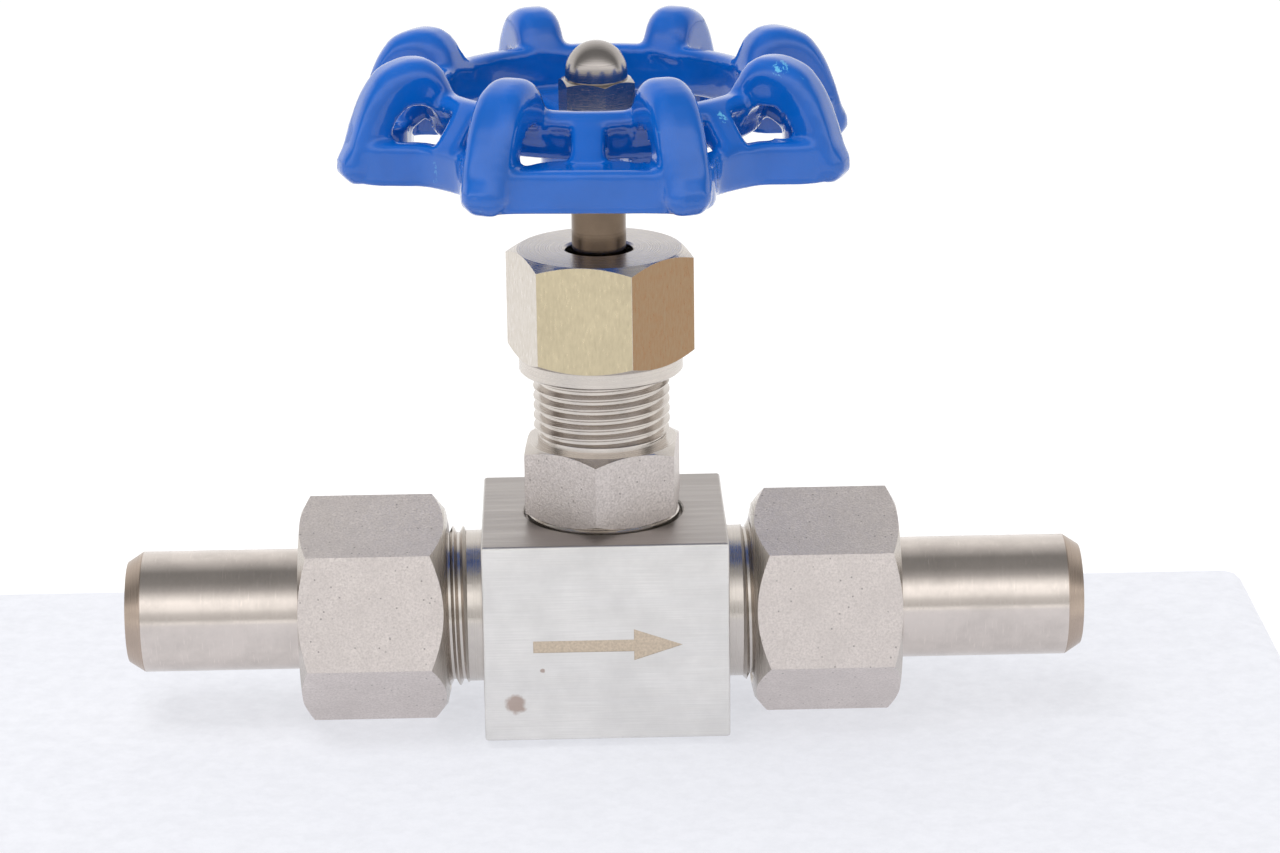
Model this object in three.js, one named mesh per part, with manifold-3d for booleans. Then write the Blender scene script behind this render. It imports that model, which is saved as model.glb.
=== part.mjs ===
// Needle valve with welded union ends: block body, screwed-in bonnet, stem packed
// by a gland and packing nut, arched handwheel, and a union nut and weld nipple on
// each side. Millimetres, +Z up along the stem, +X along the flow. The origin is the
// middle of the block's flat underside.
import * as THREE from "three";
import { mergeVertices } from "three/addons/utils/BufferGeometryUtils.js";
import Module from "manifold-3d";

const wasm = await Module();
wasm.setup();

// ---------------------------------------------------------------- dimensions

const ROUND = 32; // sides of the large turned pieces
const ROUND_SMALL = 24; // sides of the small turned pieces
const GAP = 0.3; // free space left between pieces that touch
const CUT_OVERRUN = 1; // how far a cutting tool runs past the face it opens
const SAME_POINT = 1e-4; // corners closer than this are one corner
const HEX_CHAMFER_ANGLE = 30;
const HEX_CORNER_MARGIN = 0.2; // how far a chamfer starts outside a hexagon's corners

// Valve block.
const BLOCK_WIDTH = 36;
const BLOCK_DEPTH = 33.6;
const BLOCK_HEIGHT = 30;
const FLOW_HEIGHT = 15.3; // flow axis above the underside
const PORT_RADIUS = 5; // 10 mm bore
const PORT_DEPTH_X = 13; // where the full bore ends inside the block
const STUB_NECK_RADIUS = 11.3;
const STUB_NECK_LENGTH = 2.8;
const STUB_THREAD_RADIUS = 11.9; // M24 x 1.5 crests
const STUB_END_X = 33.2;
const STUB_END_CHAMFER = 1;

// Seat and passages, as heights above the flow axis.
const SEAT_Z = -3;
const SEAT_RADIUS = 2.5;
const SEAT_MOUTH_RADIUS = 3;
const SEAT_MOUTH_DEPTH = 0.8;
const ORIFICE_BOTTOM_Z = -10.5;
const INLET_DRILL_RADIUS = 2.5;
const INLET_DRILL_START = [-15, -0.9];
const INLET_DRILL_END = [1, -11.1];
const OUTLET_DRILL_RADIUS = 3.5;
const OUTLET_DRILL_Z = 0.8;
const CHAMBER_RADIUS = 5.5;
const LEDGE_Z = 5; // where the bonnet gasket lies
const BONNET_SOCKET_RADIUS = 9.2;
const SPOTFACE_RADIUS = 11.8;
const SPOTFACE_Z = 13.5;
const BLOCK_TOP_Z = BLOCK_HEIGHT - FLOW_HEIGHT;

// Bonnet and its gasket.
const GASKET_RADIUS = 8.8;
const GASKET_BORE = 6;
const GASKET_THICKNESS = 1;
const BONNET_SHANK_RADIUS = 8.85;
const BONNET_SHANK_Z = LEDGE_Z + GASKET_THICKNESS + 2 * GAP;
const BONNET_COLLAR_RADIUS = 11.3;
const BONNET_COLLAR_Z = 13.9;
const BONNET_HEX_Z = 15.1;
const BONNET_HEX_TOP_Z = 26;
const BONNET_HEX_FLATS = 22;
const BONNET_HEX_TURN = 24.8;
const BONNET_NECK_RADIUS = 9.5;
const BONNET_NECK_Z = 27.2;
const BONNET_THREAD_RADIUS = 10.05; // M20 x 1.5 crests
const BONNET_TOP_Z = 46.5;
const BONNET_TOP_CHAMFER = 0.8;
const STEM_NUT_BORE = 5.3; // M10 x 1 thread that the stem runs in
const STEM_NUT_TOP_Z = 24;
const STEM_GUIDE_BORE = 4.3;
const PACKING_BOX_Z = 27.5;
const PACKING_BOX_RADIUS = 7;

// Stem and its swivelling needle.
const STEM_THREAD_RADIUS = 4.95;
const STEM_THREAD_Z = 6.6;
const STEM_THREAD_TOP_Z = 21;
const STEM_RADIUS = 3.98;
const STEM_SHOULDER_Z = 63.2;
const STEM_SQUARE_HALF = 3;
const STEM_SQUARE_TOP_Z = 73;
const STEM_STUD_RADIUS = 2.9;
const STEM_STUD_TOP_Z = 80.4;
const STEM_NECK_RADIUS = 1.4;
const STEM_BUTTON_RADIUS = 2.2;
const STEM_BUTTON_Z = 2.8;
const STEM_BUTTON_TOP_Z = 4.2;
const NEEDLE_RADIUS = 3.3;
const NEEDLE_TOP_Z = 6.2;
const NEEDLE_CONE_Z = 0.65;
const NEEDLE_POINT_RADIUS = 0.6;
const NEEDLE_POINT_Z = -4.05;
const NEEDLE_CUP_RADIUS = 2.5;
const NEEDLE_CUP_Z = 2.5;
const NEEDLE_CUP_TOP_Z = 4.5;
const NEEDLE_MOUTH_RADIUS = 1.7;

// Packing, gland and packing nut.
const PACKING_OUTER_RADIUS = 6.8;
const PACKING_BORE = 4.2;
const PACKING_WASHER_THICKNESS = 1.4;
const PACKING_RING_HEIGHT = 2.9;
const PACKING_RING_COUNT = 4;
const PACKING_RING_GAP = 0.15;
const GLAND_Z = PACKING_BOX_Z + GAP + PACKING_WASHER_THICKNESS
  + PACKING_RING_COUNT * (PACKING_RING_HEIGHT + PACKING_RING_GAP) + PACKING_RING_GAP;
const GLAND_BORE = 4.35;
const GLAND_FLANGE_RADIUS = 8.6;
const GLAND_FLANGE_Z = BONNET_TOP_Z + GAP;
const GLAND_TOP_Z = 49.8;
const PACKING_NUT_Z = 36.7;
const PACKING_NUT_HEX_Z = 38.9;
const PACKING_NUT_TOP_Z = 54.9;
const PACKING_NUT_FLATS = 24.2;
const PACKING_NUT_TURN = 48.6;
const PACKING_NUT_COLLAR_RADIUS = 12.05;
const PACKING_NUT_THREAD_BORE = 10.35;
const PACKING_NUT_ROOM_Z = GLAND_TOP_Z + GAP;
const PACKING_NUT_HOLE = 5;

// Handwheel.
const LOBE_COUNT = 8;
const LOBE_TURN = 19.15;
const WHEEL_BOTTOM_Z = 68.2;
const RIM_TOP_Z = 74.3;
const RING_BORE = 21.8;
const RING_OUTER_RADIUS = 24;
const RING_LIP_RADIUS = 25.3;
const RING_BOTTOM_Z = 73.4;
const RING_NECK_Z = 77.2;
const RING_LIP_Z = 78.4;
const RING_SHOULDER_Z = 79.2;
const RING_TOP_Z = 80.3;
const ARCH_WIDTH = 7.2;
const ARCH_EDGE = 1.1; // broken edges along the arch
const HUB_RADIUS = 8.2;
const HUB_BOTTOM_Z = 63.5;
const HUB_TOP_Z = 73.9;
const HUB_SQUARE_HALF = 3.3;
const SPOKE_COUNT = 4;
const SPOKE_WIDTH = 6;
const SPOKE_BOTTOM_Z = 71.2;
const SPOKE_INNER_RADIUS = 6;
const SPOKE_OUTER_RADIUS = 22.8;
const BRIDGE_WIDTH = 4.8;
// One lobe of the rim in plan: sideways offset and distance from the wheel's axis. The gap
// after it is deep and the one before it is shallow; every second lobe is mirrored.
const LOBE_PLAN = [[-4.6, 35.2], [-2, 36.8], [2.2, 36.8], [4.6, 34.8], [6.2, 31.4], [8, 28.6]];
const LOBE_PLAN_INSIDE = [[-5.4, 27], [-3, 31], [3, 31], [5.4, 27]];
// An arch seen along the rim: distance from the axis and height above the flow axis.
const ARCH_SIDE = [[31.8, 68.2], [36.8, 68.2], [37.8, 69.3], [38.1, 71], [37.4, 74], [36.2, 77.6],
  [34.6, 81], [32.4, 83.6], [30, 84.8], [27.4, 85.2], [25, 84.5], [23.3, 82.8], [21.8, 80],
  [21.8, 76], [24.4, 76], [24.9, 77.4], [26.1, 78.6], [27.9, 79.1], [29.7, 78.6], [31, 77.2],
  [31.8, 75]];
// The sloping bridge between the ring and the rim, half way between two arches.
const BRIDGE_SIDE = [[22.8, 76], [28.6, 71.4], [29.2, 74.3], [24.8, 79.6], [22.8, 79.6]];

// Domed nut.
const DOME_NUT_Z = HUB_TOP_Z + GAP;
const DOME_NUT_HEX_TOP_Z = 80;
const DOME_NUT_FLATS = 10;
const DOME_NUT_TURN = 42;
const DOME_RADIUS = 4.5;
const DOME_TOP_Z = 85.5;
const DOME_STEPS = 6;
const DOME_NUT_BORE = 3.2;
const DOME_NUT_BORE_TOP_Z = 81;

// Union nuts, nipples and seal rings, along each side's outward axis.
const UNION_NUT_FLATS = 29.1;
const UNION_NUT_LENGTH = 21.7;
const UNION_NUT_START_LEFT = 23.3;
const UNION_NUT_START_RIGHT = 21.8;
const UNION_NUT_TURN_LEFT = 15.3;
const UNION_NUT_TURN_RIGHT = 48.1;
const UNION_NUT_FACE_RADIUS = 12.8; // flat ring of the end that faces the block
const UNION_NUT_LIP = 0.4; // from that ring back to where the flats begin
const UNION_NUT_FRONT_CHAMFER = 40;
const UNION_NUT_THREAD_BORE = 12.25;
const UNION_NUT_WALL = 4;
const UNION_NUT_HOLE = 9.3;
const SEAL_THICKNESS = 1.5;
const SEAL_RADIUS = 10.6;
const SEAL_BORE = 5.4;
const NIPPLE_START_X = STUB_END_X + SEAL_THICKNESS + 2 * GAP;
const NIPPLE_COLLAR_RADIUS = 11.1;
const NIPPLE_COLLAR_LENGTH = 3.6;
const NIPPLE_RADIUS = 9;
const NIPPLE_BORE = 5;
const NIPPLE_END_X = 71;
const NIPPLE_BEVEL_LENGTH = 2.3;
const NIPPLE_BEVEL_DEPTH = 1.5;

// ------------------------------------------------------------------- helpers

const DEGREES = Math.PI / 180;

// Turn a closed geometry into a solid that can be cut and joined.
function solidOf(geometry) {
  const bare = geometry.index ? geometry.toNonIndexed() : geometry;
  bare.deleteAttribute("normal");
  bare.deleteAttribute("uv");
  const merged = mergeVertices(bare, SAME_POINT);
  return new wasm.Manifold(new wasm.Mesh({
    numProp: 3,
    vertProperties: Float32Array.from(merged.attributes.position.array),
    triVerts: Uint32Array.from(merged.index.array),
  }));
}

// Turn a finished solid back into a geometry that can be drawn.
function geometryOf(solid) {
  const mesh = solid.getMesh();
  const geometry = new THREE.BufferGeometry();
  geometry.setAttribute("position", new THREE.BufferAttribute(mesh.vertProperties, 3));
  geometry.setIndex(new THREE.BufferAttribute(mesh.triVerts, 1));
  return geometry;
}

// A turned piece about Z. The outline lists radius and height, and is closed either
// on the axis or on itself.
function turned(outline, sides) {
  const points = outline.map(([radius, height]) => new THREE.Vector2(radius, height));
  const geometry = new THREE.LatheGeometry(points, sides);
  geometry.rotateX(Math.PI / 2);
  return solidOf(facingOut(geometry));
}

// Reverse the triangles of a geometry whose faces point inwards.
function facingOut(geometry) {
  const position = geometry.attributes.position;
  const index = geometry.index;
  const a = new THREE.Vector3();
  const b = new THREE.Vector3();
  const c = new THREE.Vector3();
  let volume = 0;
  for (let i = 0; i < index.count; i += 3) {
    a.fromBufferAttribute(position, index.getX(i));
    b.fromBufferAttribute(position, index.getX(i + 1));
    c.fromBufferAttribute(position, index.getX(i + 2));
    volume += a.dot(b.cross(c));
  }
  if (volume < 0) {
    const order = Array.from(index.array);
    for (let i = 0; i < order.length; i += 3) {
      const first = order[i];
      order[i] = order[i + 2];
      order[i + 2] = first;
    }
    geometry.setIndex(order);
  }
  return geometry;
}

// A plain disc or rod about Z between two heights.
function rod(radius, bottom, top, sides) {
  return turned([[0, bottom], [radius, bottom], [radius, top], [0, top]], sides);
}

// A ring about Z with a square section.
function ring(bore, radius, bottom, top, sides) {
  return turned([[bore, bottom], [radius, bottom], [radius, top], [bore, top], [bore, bottom]],
    sides);
}

// A rod of round stock between two points of the XZ plane.
function slantedRod(radius, from, to, sides) {
  const run = new THREE.Vector3(to[0] - from[0], 0, to[1] - from[1]);
  const geometry = new THREE.CylinderGeometry(radius, radius, run.length(), sides);
  const asMade = new THREE.Vector3(0, 1, 0);
  const turn = new THREE.Quaternion().setFromUnitVectors(asMade, run.clone().normalize());
  geometry.applyQuaternion(turn);
  geometry.translate((from[0] + to[0]) / 2, 0, (from[1] + to[1]) / 2);
  return solidOf(geometry);
}

// A block given by two opposite corners.
function block(low, high) {
  const size = high.map((value, i) => value - low[i]);
  const geometry = new THREE.BoxGeometry(...size);
  geometry.translate(...low.map((value, i) => value + size[i] / 2));
  return solidOf(geometry);
}

// A plan outline raised along Z, with an optional inside outline left open.
function raised(outline, bottom, top, inside) {
  const shape = new THREE.Shape(outline.map(([x, y]) => new THREE.Vector2(x, y)));
  if (inside) {
    shape.holes.push(new THREE.Path(inside.map(([x, y]) => new THREE.Vector2(x, y))));
  }
  const geometry = new THREE.ExtrudeGeometry(shape, { depth: top - bottom, bevelEnabled: false });
  geometry.translate(0, 0, bottom);
  return solidOf(geometry);
}

// A plate cut to a side outline (distance from the axis, height), standing in the
// radial plane at the given angle about Z, with broken edges on both faces.
function radialPlate(outline, width, edge, angle) {
  const shape = new THREE.Shape(outline.map(([r, z]) => new THREE.Vector2(r, z)));
  const geometry = new THREE.ExtrudeGeometry(shape, {
    depth: width - 2 * edge,
    bevelEnabled: edge > 0,
    bevelThickness: edge,
    bevelSize: edge,
    bevelOffset: -edge,
    bevelSegments: 1,
  });
  geometry.translate(0, 0, edge - width / 2);
  geometry.rotateX(Math.PI / 2);
  geometry.rotateZ(angle * DEGREES);
  return solidOf(geometry);
}

// The corners of a hexagon with the given distance across its flats.
function hexagon(flats, turn) {
  const radius = flats / Math.sqrt(3);
  return Array.from({ length: 6 }, (_, i) => {
    const angle = (turn + i * 60) * DEGREES;
    return [radius * Math.cos(angle), radius * Math.sin(angle)];
  });
}

// A hexagon bar whose corners are turned away by the given outline.
function hexagonBar(flats, turn, outline, bottom, top, sides) {
  return raised(hexagon(flats, turn), bottom, top).intersect(turned(outline, sides));
}

// Radius outside a hexagon's corners at which its turned chamfers start.
function cornerRadius(flats) {
  return flats / Math.sqrt(3) + HEX_CORNER_MARGIN;
}

// Depth of a hexagon's chamfer from the flats out to the corners.
function chamferDepth(flats) {
  return (cornerRadius(flats) - flats / 2) * Math.tan(HEX_CHAMFER_ANGLE * DEGREES);
}

// ----------------------------------------------------------------- materials

function metal(color, roughness) {
  return new THREE.MeshStandardMaterial({ color, roughness, metalness: 1 });
}

const brushedSteel = metal(0xb9b6b0, 0.42);
const blastedSteel = metal(0xa39d95, 0.55);
const turnedSteel = metal(0xb8b2a8, 0.28);
const tarnishedSteel = metal(0xa99f86, 0.38);
const stemSteel = metal(0x8d8272, 0.3);
const polishedSteel = metal(0xc2b9ab, 0.18);
const hardSteel = metal(0x9a9792, 0.25);
const sealMetal = metal(0xa8a39a, 0.5);
const graphite = new THREE.MeshStandardMaterial({ color: 0x2b2b2d, roughness: 0.85, metalness: 0 });
const blueEnamel = new THREE.MeshStandardMaterial({ color: 0x0b5fd0, roughness: 0.22,
  metalness: 0 });

// -------------------------------------------------------------------- pieces

const valve = new THREE.Group();
const upright = new THREE.Group();
upright.position.set(0, 0, FLOW_HEIGHT);
valve.add(upright);

// Put a finished solid into a group under its own name.
function place(group, name, solid, material) {
  const mesh = new THREE.Mesh(geometryOf(solid), material);
  mesh.name = name;
  group.add(mesh);
  return mesh;
}

// One threaded stub with its plain neck, along the outward axis from the block's middle.
function stub() {
  const neckEnd = BLOCK_WIDTH / 2 + STUB_NECK_LENGTH;
  return turned([
    [0, BLOCK_WIDTH / 2 - CUT_OVERRUN],
    [STUB_NECK_RADIUS, BLOCK_WIDTH / 2 - CUT_OVERRUN],
    [STUB_NECK_RADIUS, neckEnd],
    [STUB_THREAD_RADIUS, neckEnd + STUB_THREAD_RADIUS - STUB_NECK_RADIUS],
    [STUB_THREAD_RADIUS, STUB_END_X - STUB_END_CHAMFER],
    [STUB_THREAD_RADIUS - STUB_END_CHAMFER, STUB_END_X],
    [0, STUB_END_X],
  ], ROUND);
}

// The room above the seat: chamber, gasket ledge, bonnet socket and spot face.
function upperRoom() {
  return turned([
    [0, SEAT_Z - SEAT_MOUTH_DEPTH - CUT_OVERRUN],
    [SEAT_RADIUS, SEAT_Z - SEAT_MOUTH_DEPTH - CUT_OVERRUN],
    [SEAT_RADIUS, SEAT_Z - SEAT_MOUTH_DEPTH],
    [SEAT_MOUTH_RADIUS, SEAT_Z],
    [CHAMBER_RADIUS, SEAT_Z],
    [CHAMBER_RADIUS, LEDGE_Z],
    [BONNET_SOCKET_RADIUS, LEDGE_Z],
    [BONNET_SOCKET_RADIUS, SPOTFACE_Z],
    [SPOTFACE_RADIUS, SPOTFACE_Z],
    [SPOTFACE_RADIUS, BLOCK_TOP_Z + CUT_OVERRUN],
    [0, BLOCK_TOP_Z + CUT_OVERRUN],
  ], ROUND);
}

function valveBody() {
  const halfWidth = BLOCK_WIDTH / 2;
  const halfDepth = BLOCK_DEPTH / 2;
  const outside = block([-halfWidth, -halfDepth, -FLOW_HEIGHT], [halfWidth, halfDepth, BLOCK_TOP_Z]);
  const bore = rod(PORT_RADIUS, PORT_DEPTH_X, STUB_END_X + CUT_OVERRUN, ROUND);
  const orifice = rod(SEAT_RADIUS, ORIFICE_BOTTOM_Z, SEAT_Z - SEAT_MOUTH_DEPTH, ROUND_SMALL);
  const inlet = slantedRod(INLET_DRILL_RADIUS, INLET_DRILL_START, INLET_DRILL_END, ROUND_SMALL);
  const outlet = slantedRod(OUTLET_DRILL_RADIUS, [0, OUTLET_DRILL_Z],
    [PORT_DEPTH_X + CUT_OVERRUN, OUTLET_DRILL_Z], ROUND_SMALL);
  const toRight = [0, 90, 0];
  const toLeft = [0, -90, 0];
  return outside
    .add(stub().rotate(toRight))
    .add(stub().rotate(toLeft))
    .subtract(bore.rotate(toRight))
    .subtract(bore.rotate(toLeft))
    .subtract(upperRoom())
    .subtract(orifice)
    .subtract(inlet)
    .subtract(outlet);
}

function bonnet() {
  const corner = cornerRadius(BONNET_HEX_FLATS);
  const chamfer = chamferDepth(BONNET_HEX_FLATS);
  const flat = BONNET_HEX_FLATS / 2;
  const hexagonPart = hexagonBar(BONNET_HEX_FLATS, BONNET_HEX_TURN, [
    [0, BONNET_HEX_Z],
    [flat, BONNET_HEX_Z],
    [corner, BONNET_HEX_Z + chamfer],
    [corner, BONNET_HEX_TOP_Z - chamfer],
    [flat, BONNET_HEX_TOP_Z],
    [0, BONNET_HEX_TOP_Z],
  ], BONNET_HEX_Z, BONNET_HEX_TOP_Z, ROUND);
  const roundPart = turned([
    [0, BONNET_SHANK_Z],
    [BONNET_SHANK_RADIUS, BONNET_SHANK_Z],
    [BONNET_SHANK_RADIUS, BONNET_COLLAR_Z],
    [BONNET_COLLAR_RADIUS, BONNET_COLLAR_Z],
    [BONNET_COLLAR_RADIUS, BONNET_HEX_Z],
    [BONNET_NECK_RADIUS, BONNET_HEX_Z],
    [BONNET_NECK_RADIUS, BONNET_NECK_Z],
    [BONNET_THREAD_RADIUS, BONNET_NECK_Z],
    [BONNET_THREAD_RADIUS, BONNET_TOP_Z - BONNET_TOP_CHAMFER],
    [BONNET_THREAD_RADIUS - BONNET_TOP_CHAMFER, BONNET_TOP_Z],
    [0, BONNET_TOP_Z],
  ], ROUND);
  const inside = turned([
    [0, BONNET_SHANK_Z - CUT_OVERRUN],
    [STEM_NUT_BORE, BONNET_SHANK_Z - CUT_OVERRUN],
    [STEM_NUT_BORE, STEM_NUT_TOP_Z],
    [STEM_GUIDE_BORE, STEM_NUT_TOP_Z],
    [STEM_GUIDE_BORE, PACKING_BOX_Z],
    [PACKING_BOX_RADIUS, PACKING_BOX_Z],
    [PACKING_BOX_RADIUS, BONNET_TOP_Z + CUT_OVERRUN],
    [0, BONNET_TOP_Z + CUT_OVERRUN],
  ], ROUND);
  return roundPart.add(hexagonPart).subtract(inside);
}

function bonnetGasket() {
  const bottom = LEDGE_Z + GAP;
  return ring(GASKET_BORE, GASKET_RADIUS, bottom, bottom + GASKET_THICKNESS, ROUND);
}

function needle() {
  return turned([
    [0, NEEDLE_POINT_Z],
    [NEEDLE_POINT_RADIUS, NEEDLE_POINT_Z],
    [NEEDLE_RADIUS, NEEDLE_CONE_Z],
    [NEEDLE_RADIUS, NEEDLE_TOP_Z],
    [NEEDLE_MOUTH_RADIUS, NEEDLE_TOP_Z],
    [NEEDLE_MOUTH_RADIUS, NEEDLE_CUP_TOP_Z],
    [NEEDLE_CUP_RADIUS, NEEDLE_CUP_TOP_Z],
    [NEEDLE_CUP_RADIUS, NEEDLE_CUP_Z],
    [0, NEEDLE_CUP_Z],
  ], ROUND_SMALL);
}

function stem() {
  const turnedPart = turned([
    [0, STEM_BUTTON_Z],
    [STEM_BUTTON_RADIUS, STEM_BUTTON_Z],
    [STEM_BUTTON_RADIUS, STEM_BUTTON_TOP_Z],
    [STEM_NECK_RADIUS, STEM_BUTTON_TOP_Z],
    [STEM_NECK_RADIUS, STEM_THREAD_Z],
    [STEM_THREAD_RADIUS, STEM_THREAD_Z],
    [STEM_THREAD_RADIUS, STEM_THREAD_TOP_Z],
    [STEM_RADIUS, STEM_THREAD_TOP_Z + STEM_THREAD_RADIUS - STEM_RADIUS],
    [STEM_RADIUS, STEM_SHOULDER_Z],
    [STEM_STUD_RADIUS, STEM_SHOULDER_Z],
    [STEM_STUD_RADIUS, STEM_STUD_TOP_Z],
    [0, STEM_STUD_TOP_Z],
  ], ROUND_SMALL);
  const half = STEM_SQUARE_HALF;
  const square = block([-half, -half, STEM_SHOULDER_Z - CUT_OVERRUN],
    [half, half, STEM_SQUARE_TOP_Z]);
  return turnedPart.add(square.rotate([0, 0, LOBE_TURN]));
}

function packingWasher() {
  const bottom = PACKING_BOX_Z + PACKING_RING_GAP;
  return ring(PACKING_BORE, PACKING_OUTER_RADIUS, bottom, bottom + PACKING_WASHER_THICKNESS,
    ROUND_SMALL);
}

function packingRing(number) {
  const first = PACKING_BOX_Z + PACKING_WASHER_THICKNESS + 2 * PACKING_RING_GAP;
  const bottom = first + (number - 1) * (PACKING_RING_HEIGHT + PACKING_RING_GAP);
  return ring(PACKING_BORE, PACKING_OUTER_RADIUS, bottom, bottom + PACKING_RING_HEIGHT,
    ROUND_SMALL);
}

function gland() {
  return turned([
    [GLAND_BORE, GLAND_Z],
    [PACKING_OUTER_RADIUS, GLAND_Z],
    [PACKING_OUTER_RADIUS, GLAND_FLANGE_Z],
    [GLAND_FLANGE_RADIUS, GLAND_FLANGE_Z],
    [GLAND_FLANGE_RADIUS, GLAND_TOP_Z],
    [GLAND_BORE, GLAND_TOP_Z],
    [GLAND_BORE, GLAND_Z],
  ], ROUND_SMALL);
}

function packingNut() {
  const corner = cornerRadius(PACKING_NUT_FLATS);
  const chamfer = chamferDepth(PACKING_NUT_FLATS);
  const hexagonPart = hexagonBar(PACKING_NUT_FLATS, PACKING_NUT_TURN, [
    [0, PACKING_NUT_HEX_Z],
    [PACKING_NUT_COLLAR_RADIUS, PACKING_NUT_HEX_Z],
    [corner, PACKING_NUT_HEX_Z + chamfer],
    [corner, PACKING_NUT_TOP_Z - chamfer],
    [PACKING_NUT_COLLAR_RADIUS, PACKING_NUT_TOP_Z],
    [0, PACKING_NUT_TOP_Z],
  ], PACKING_NUT_HEX_Z, PACKING_NUT_TOP_Z, ROUND);
  const collar = rod(PACKING_NUT_COLLAR_RADIUS, PACKING_NUT_Z, PACKING_NUT_HEX_Z + GAP, ROUND);
  const inside = turned([
    [0, PACKING_NUT_Z - CUT_OVERRUN],
    [PACKING_NUT_THREAD_BORE, PACKING_NUT_Z - CUT_OVERRUN],
    [PACKING_NUT_THREAD_BORE, PACKING_NUT_ROOM_Z],
    [PACKING_NUT_HOLE, PACKING_NUT_ROOM_Z],
    [PACKING_NUT_HOLE, PACKING_NUT_TOP_Z + CUT_OVERRUN],
    [0, PACKING_NUT_TOP_Z + CUT_OVERRUN],
  ], ROUND);
  return hexagonPart.add(collar).subtract(inside);
}

// Copy one lobe's plan outline round the wheel, every second one mirrored.
function lobedPlan(lobe) {
  const mirrored = lobe.map(([side, out]) => [-side, out]).reverse();
  const points = [];
  for (let i = 0; i < LOBE_COUNT; i += 1) {
    const angle = (LOBE_TURN + i * (360 / LOBE_COUNT)) * DEGREES;
    for (const [side, out] of i % 2 === 0 ? lobe : mirrored) {
      points.push([
        out * Math.cos(angle) - side * Math.sin(angle),
        out * Math.sin(angle) + side * Math.cos(angle),
      ]);
    }
  }
  return points;
}

// One spoke from the hub to the ring, at the given angle about Z.
function spoke(angle) {
  return block(
    [SPOKE_INNER_RADIUS, -SPOKE_WIDTH / 2, SPOKE_BOTTOM_Z],
    [SPOKE_OUTER_RADIUS, SPOKE_WIDTH / 2, HUB_TOP_Z],
  ).rotate([0, 0, angle]);
}

function handwheel() {
  let wheel = turned([
    [RING_BORE, RING_BOTTOM_Z],
    [RING_OUTER_RADIUS, RING_BOTTOM_Z],
    [RING_OUTER_RADIUS, RING_NECK_Z],
    [RING_LIP_RADIUS, RING_LIP_Z],
    [RING_LIP_RADIUS, RING_SHOULDER_Z],
    [RING_OUTER_RADIUS, RING_TOP_Z],
    [RING_BORE, RING_TOP_Z],
    [RING_BORE, RING_BOTTOM_Z],
  ], ROUND);
  wheel = wheel.add(raised(lobedPlan(LOBE_PLAN), WHEEL_BOTTOM_Z, RIM_TOP_Z,
    lobedPlan(LOBE_PLAN_INSIDE)));
  wheel = wheel.add(rod(HUB_RADIUS, HUB_BOTTOM_Z, HUB_TOP_Z, ROUND));
  for (let i = 0; i < SPOKE_COUNT; i += 1) {
    wheel = wheel.add(spoke(LOBE_TURN + i * (360 / SPOKE_COUNT)));
  }
  const step = 360 / LOBE_COUNT;
  for (let i = 0; i < LOBE_COUNT; i += 1) {
    const angle = LOBE_TURN + i * step;
    wheel = wheel.add(radialPlate(ARCH_SIDE, ARCH_WIDTH, ARCH_EDGE, angle));
    wheel = wheel.add(radialPlate(BRIDGE_SIDE, BRIDGE_WIDTH, 0, angle + step / 2));
  }
  const half = HUB_SQUARE_HALF;
  const socket = block([-half, -half, HUB_BOTTOM_Z - CUT_OVERRUN],
    [half, half, HUB_TOP_Z + CUT_OVERRUN]);
  return wheel.subtract(socket.rotate([0, 0, LOBE_TURN]));
}

function domeNut() {
  const corner = cornerRadius(DOME_NUT_FLATS);
  const chamfer = chamferDepth(DOME_NUT_FLATS);
  const hexagonPart = hexagonBar(DOME_NUT_FLATS, DOME_NUT_TURN, [
    [0, DOME_NUT_Z],
    [DOME_NUT_FLATS / 2, DOME_NUT_Z],
    [corner, DOME_NUT_Z + chamfer],
    [corner, DOME_NUT_HEX_TOP_Z - chamfer],
    [DOME_NUT_FLATS / 2, DOME_NUT_HEX_TOP_Z],
    [0, DOME_NUT_HEX_TOP_Z],
  ], DOME_NUT_Z, DOME_NUT_HEX_TOP_Z, ROUND_SMALL);
  const spring = DOME_TOP_Z - DOME_RADIUS;
  const dome = [[0, DOME_NUT_HEX_TOP_Z - GAP], [DOME_RADIUS, DOME_NUT_HEX_TOP_Z - GAP]];
  for (let i = 0; i < DOME_STEPS; i += 1) {
    const angle = (i / DOME_STEPS) * 90 * DEGREES;
    dome.push([DOME_RADIUS * Math.cos(angle), spring + DOME_RADIUS * Math.sin(angle)]);
  }
  dome.push([0, DOME_TOP_Z]);
  const bore = rod(DOME_NUT_BORE, DOME_NUT_Z - CUT_OVERRUN, DOME_NUT_BORE_TOP_Z, ROUND_SMALL);
  return hexagonPart.add(turned(dome, ROUND_SMALL)).subtract(bore);
}

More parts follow.
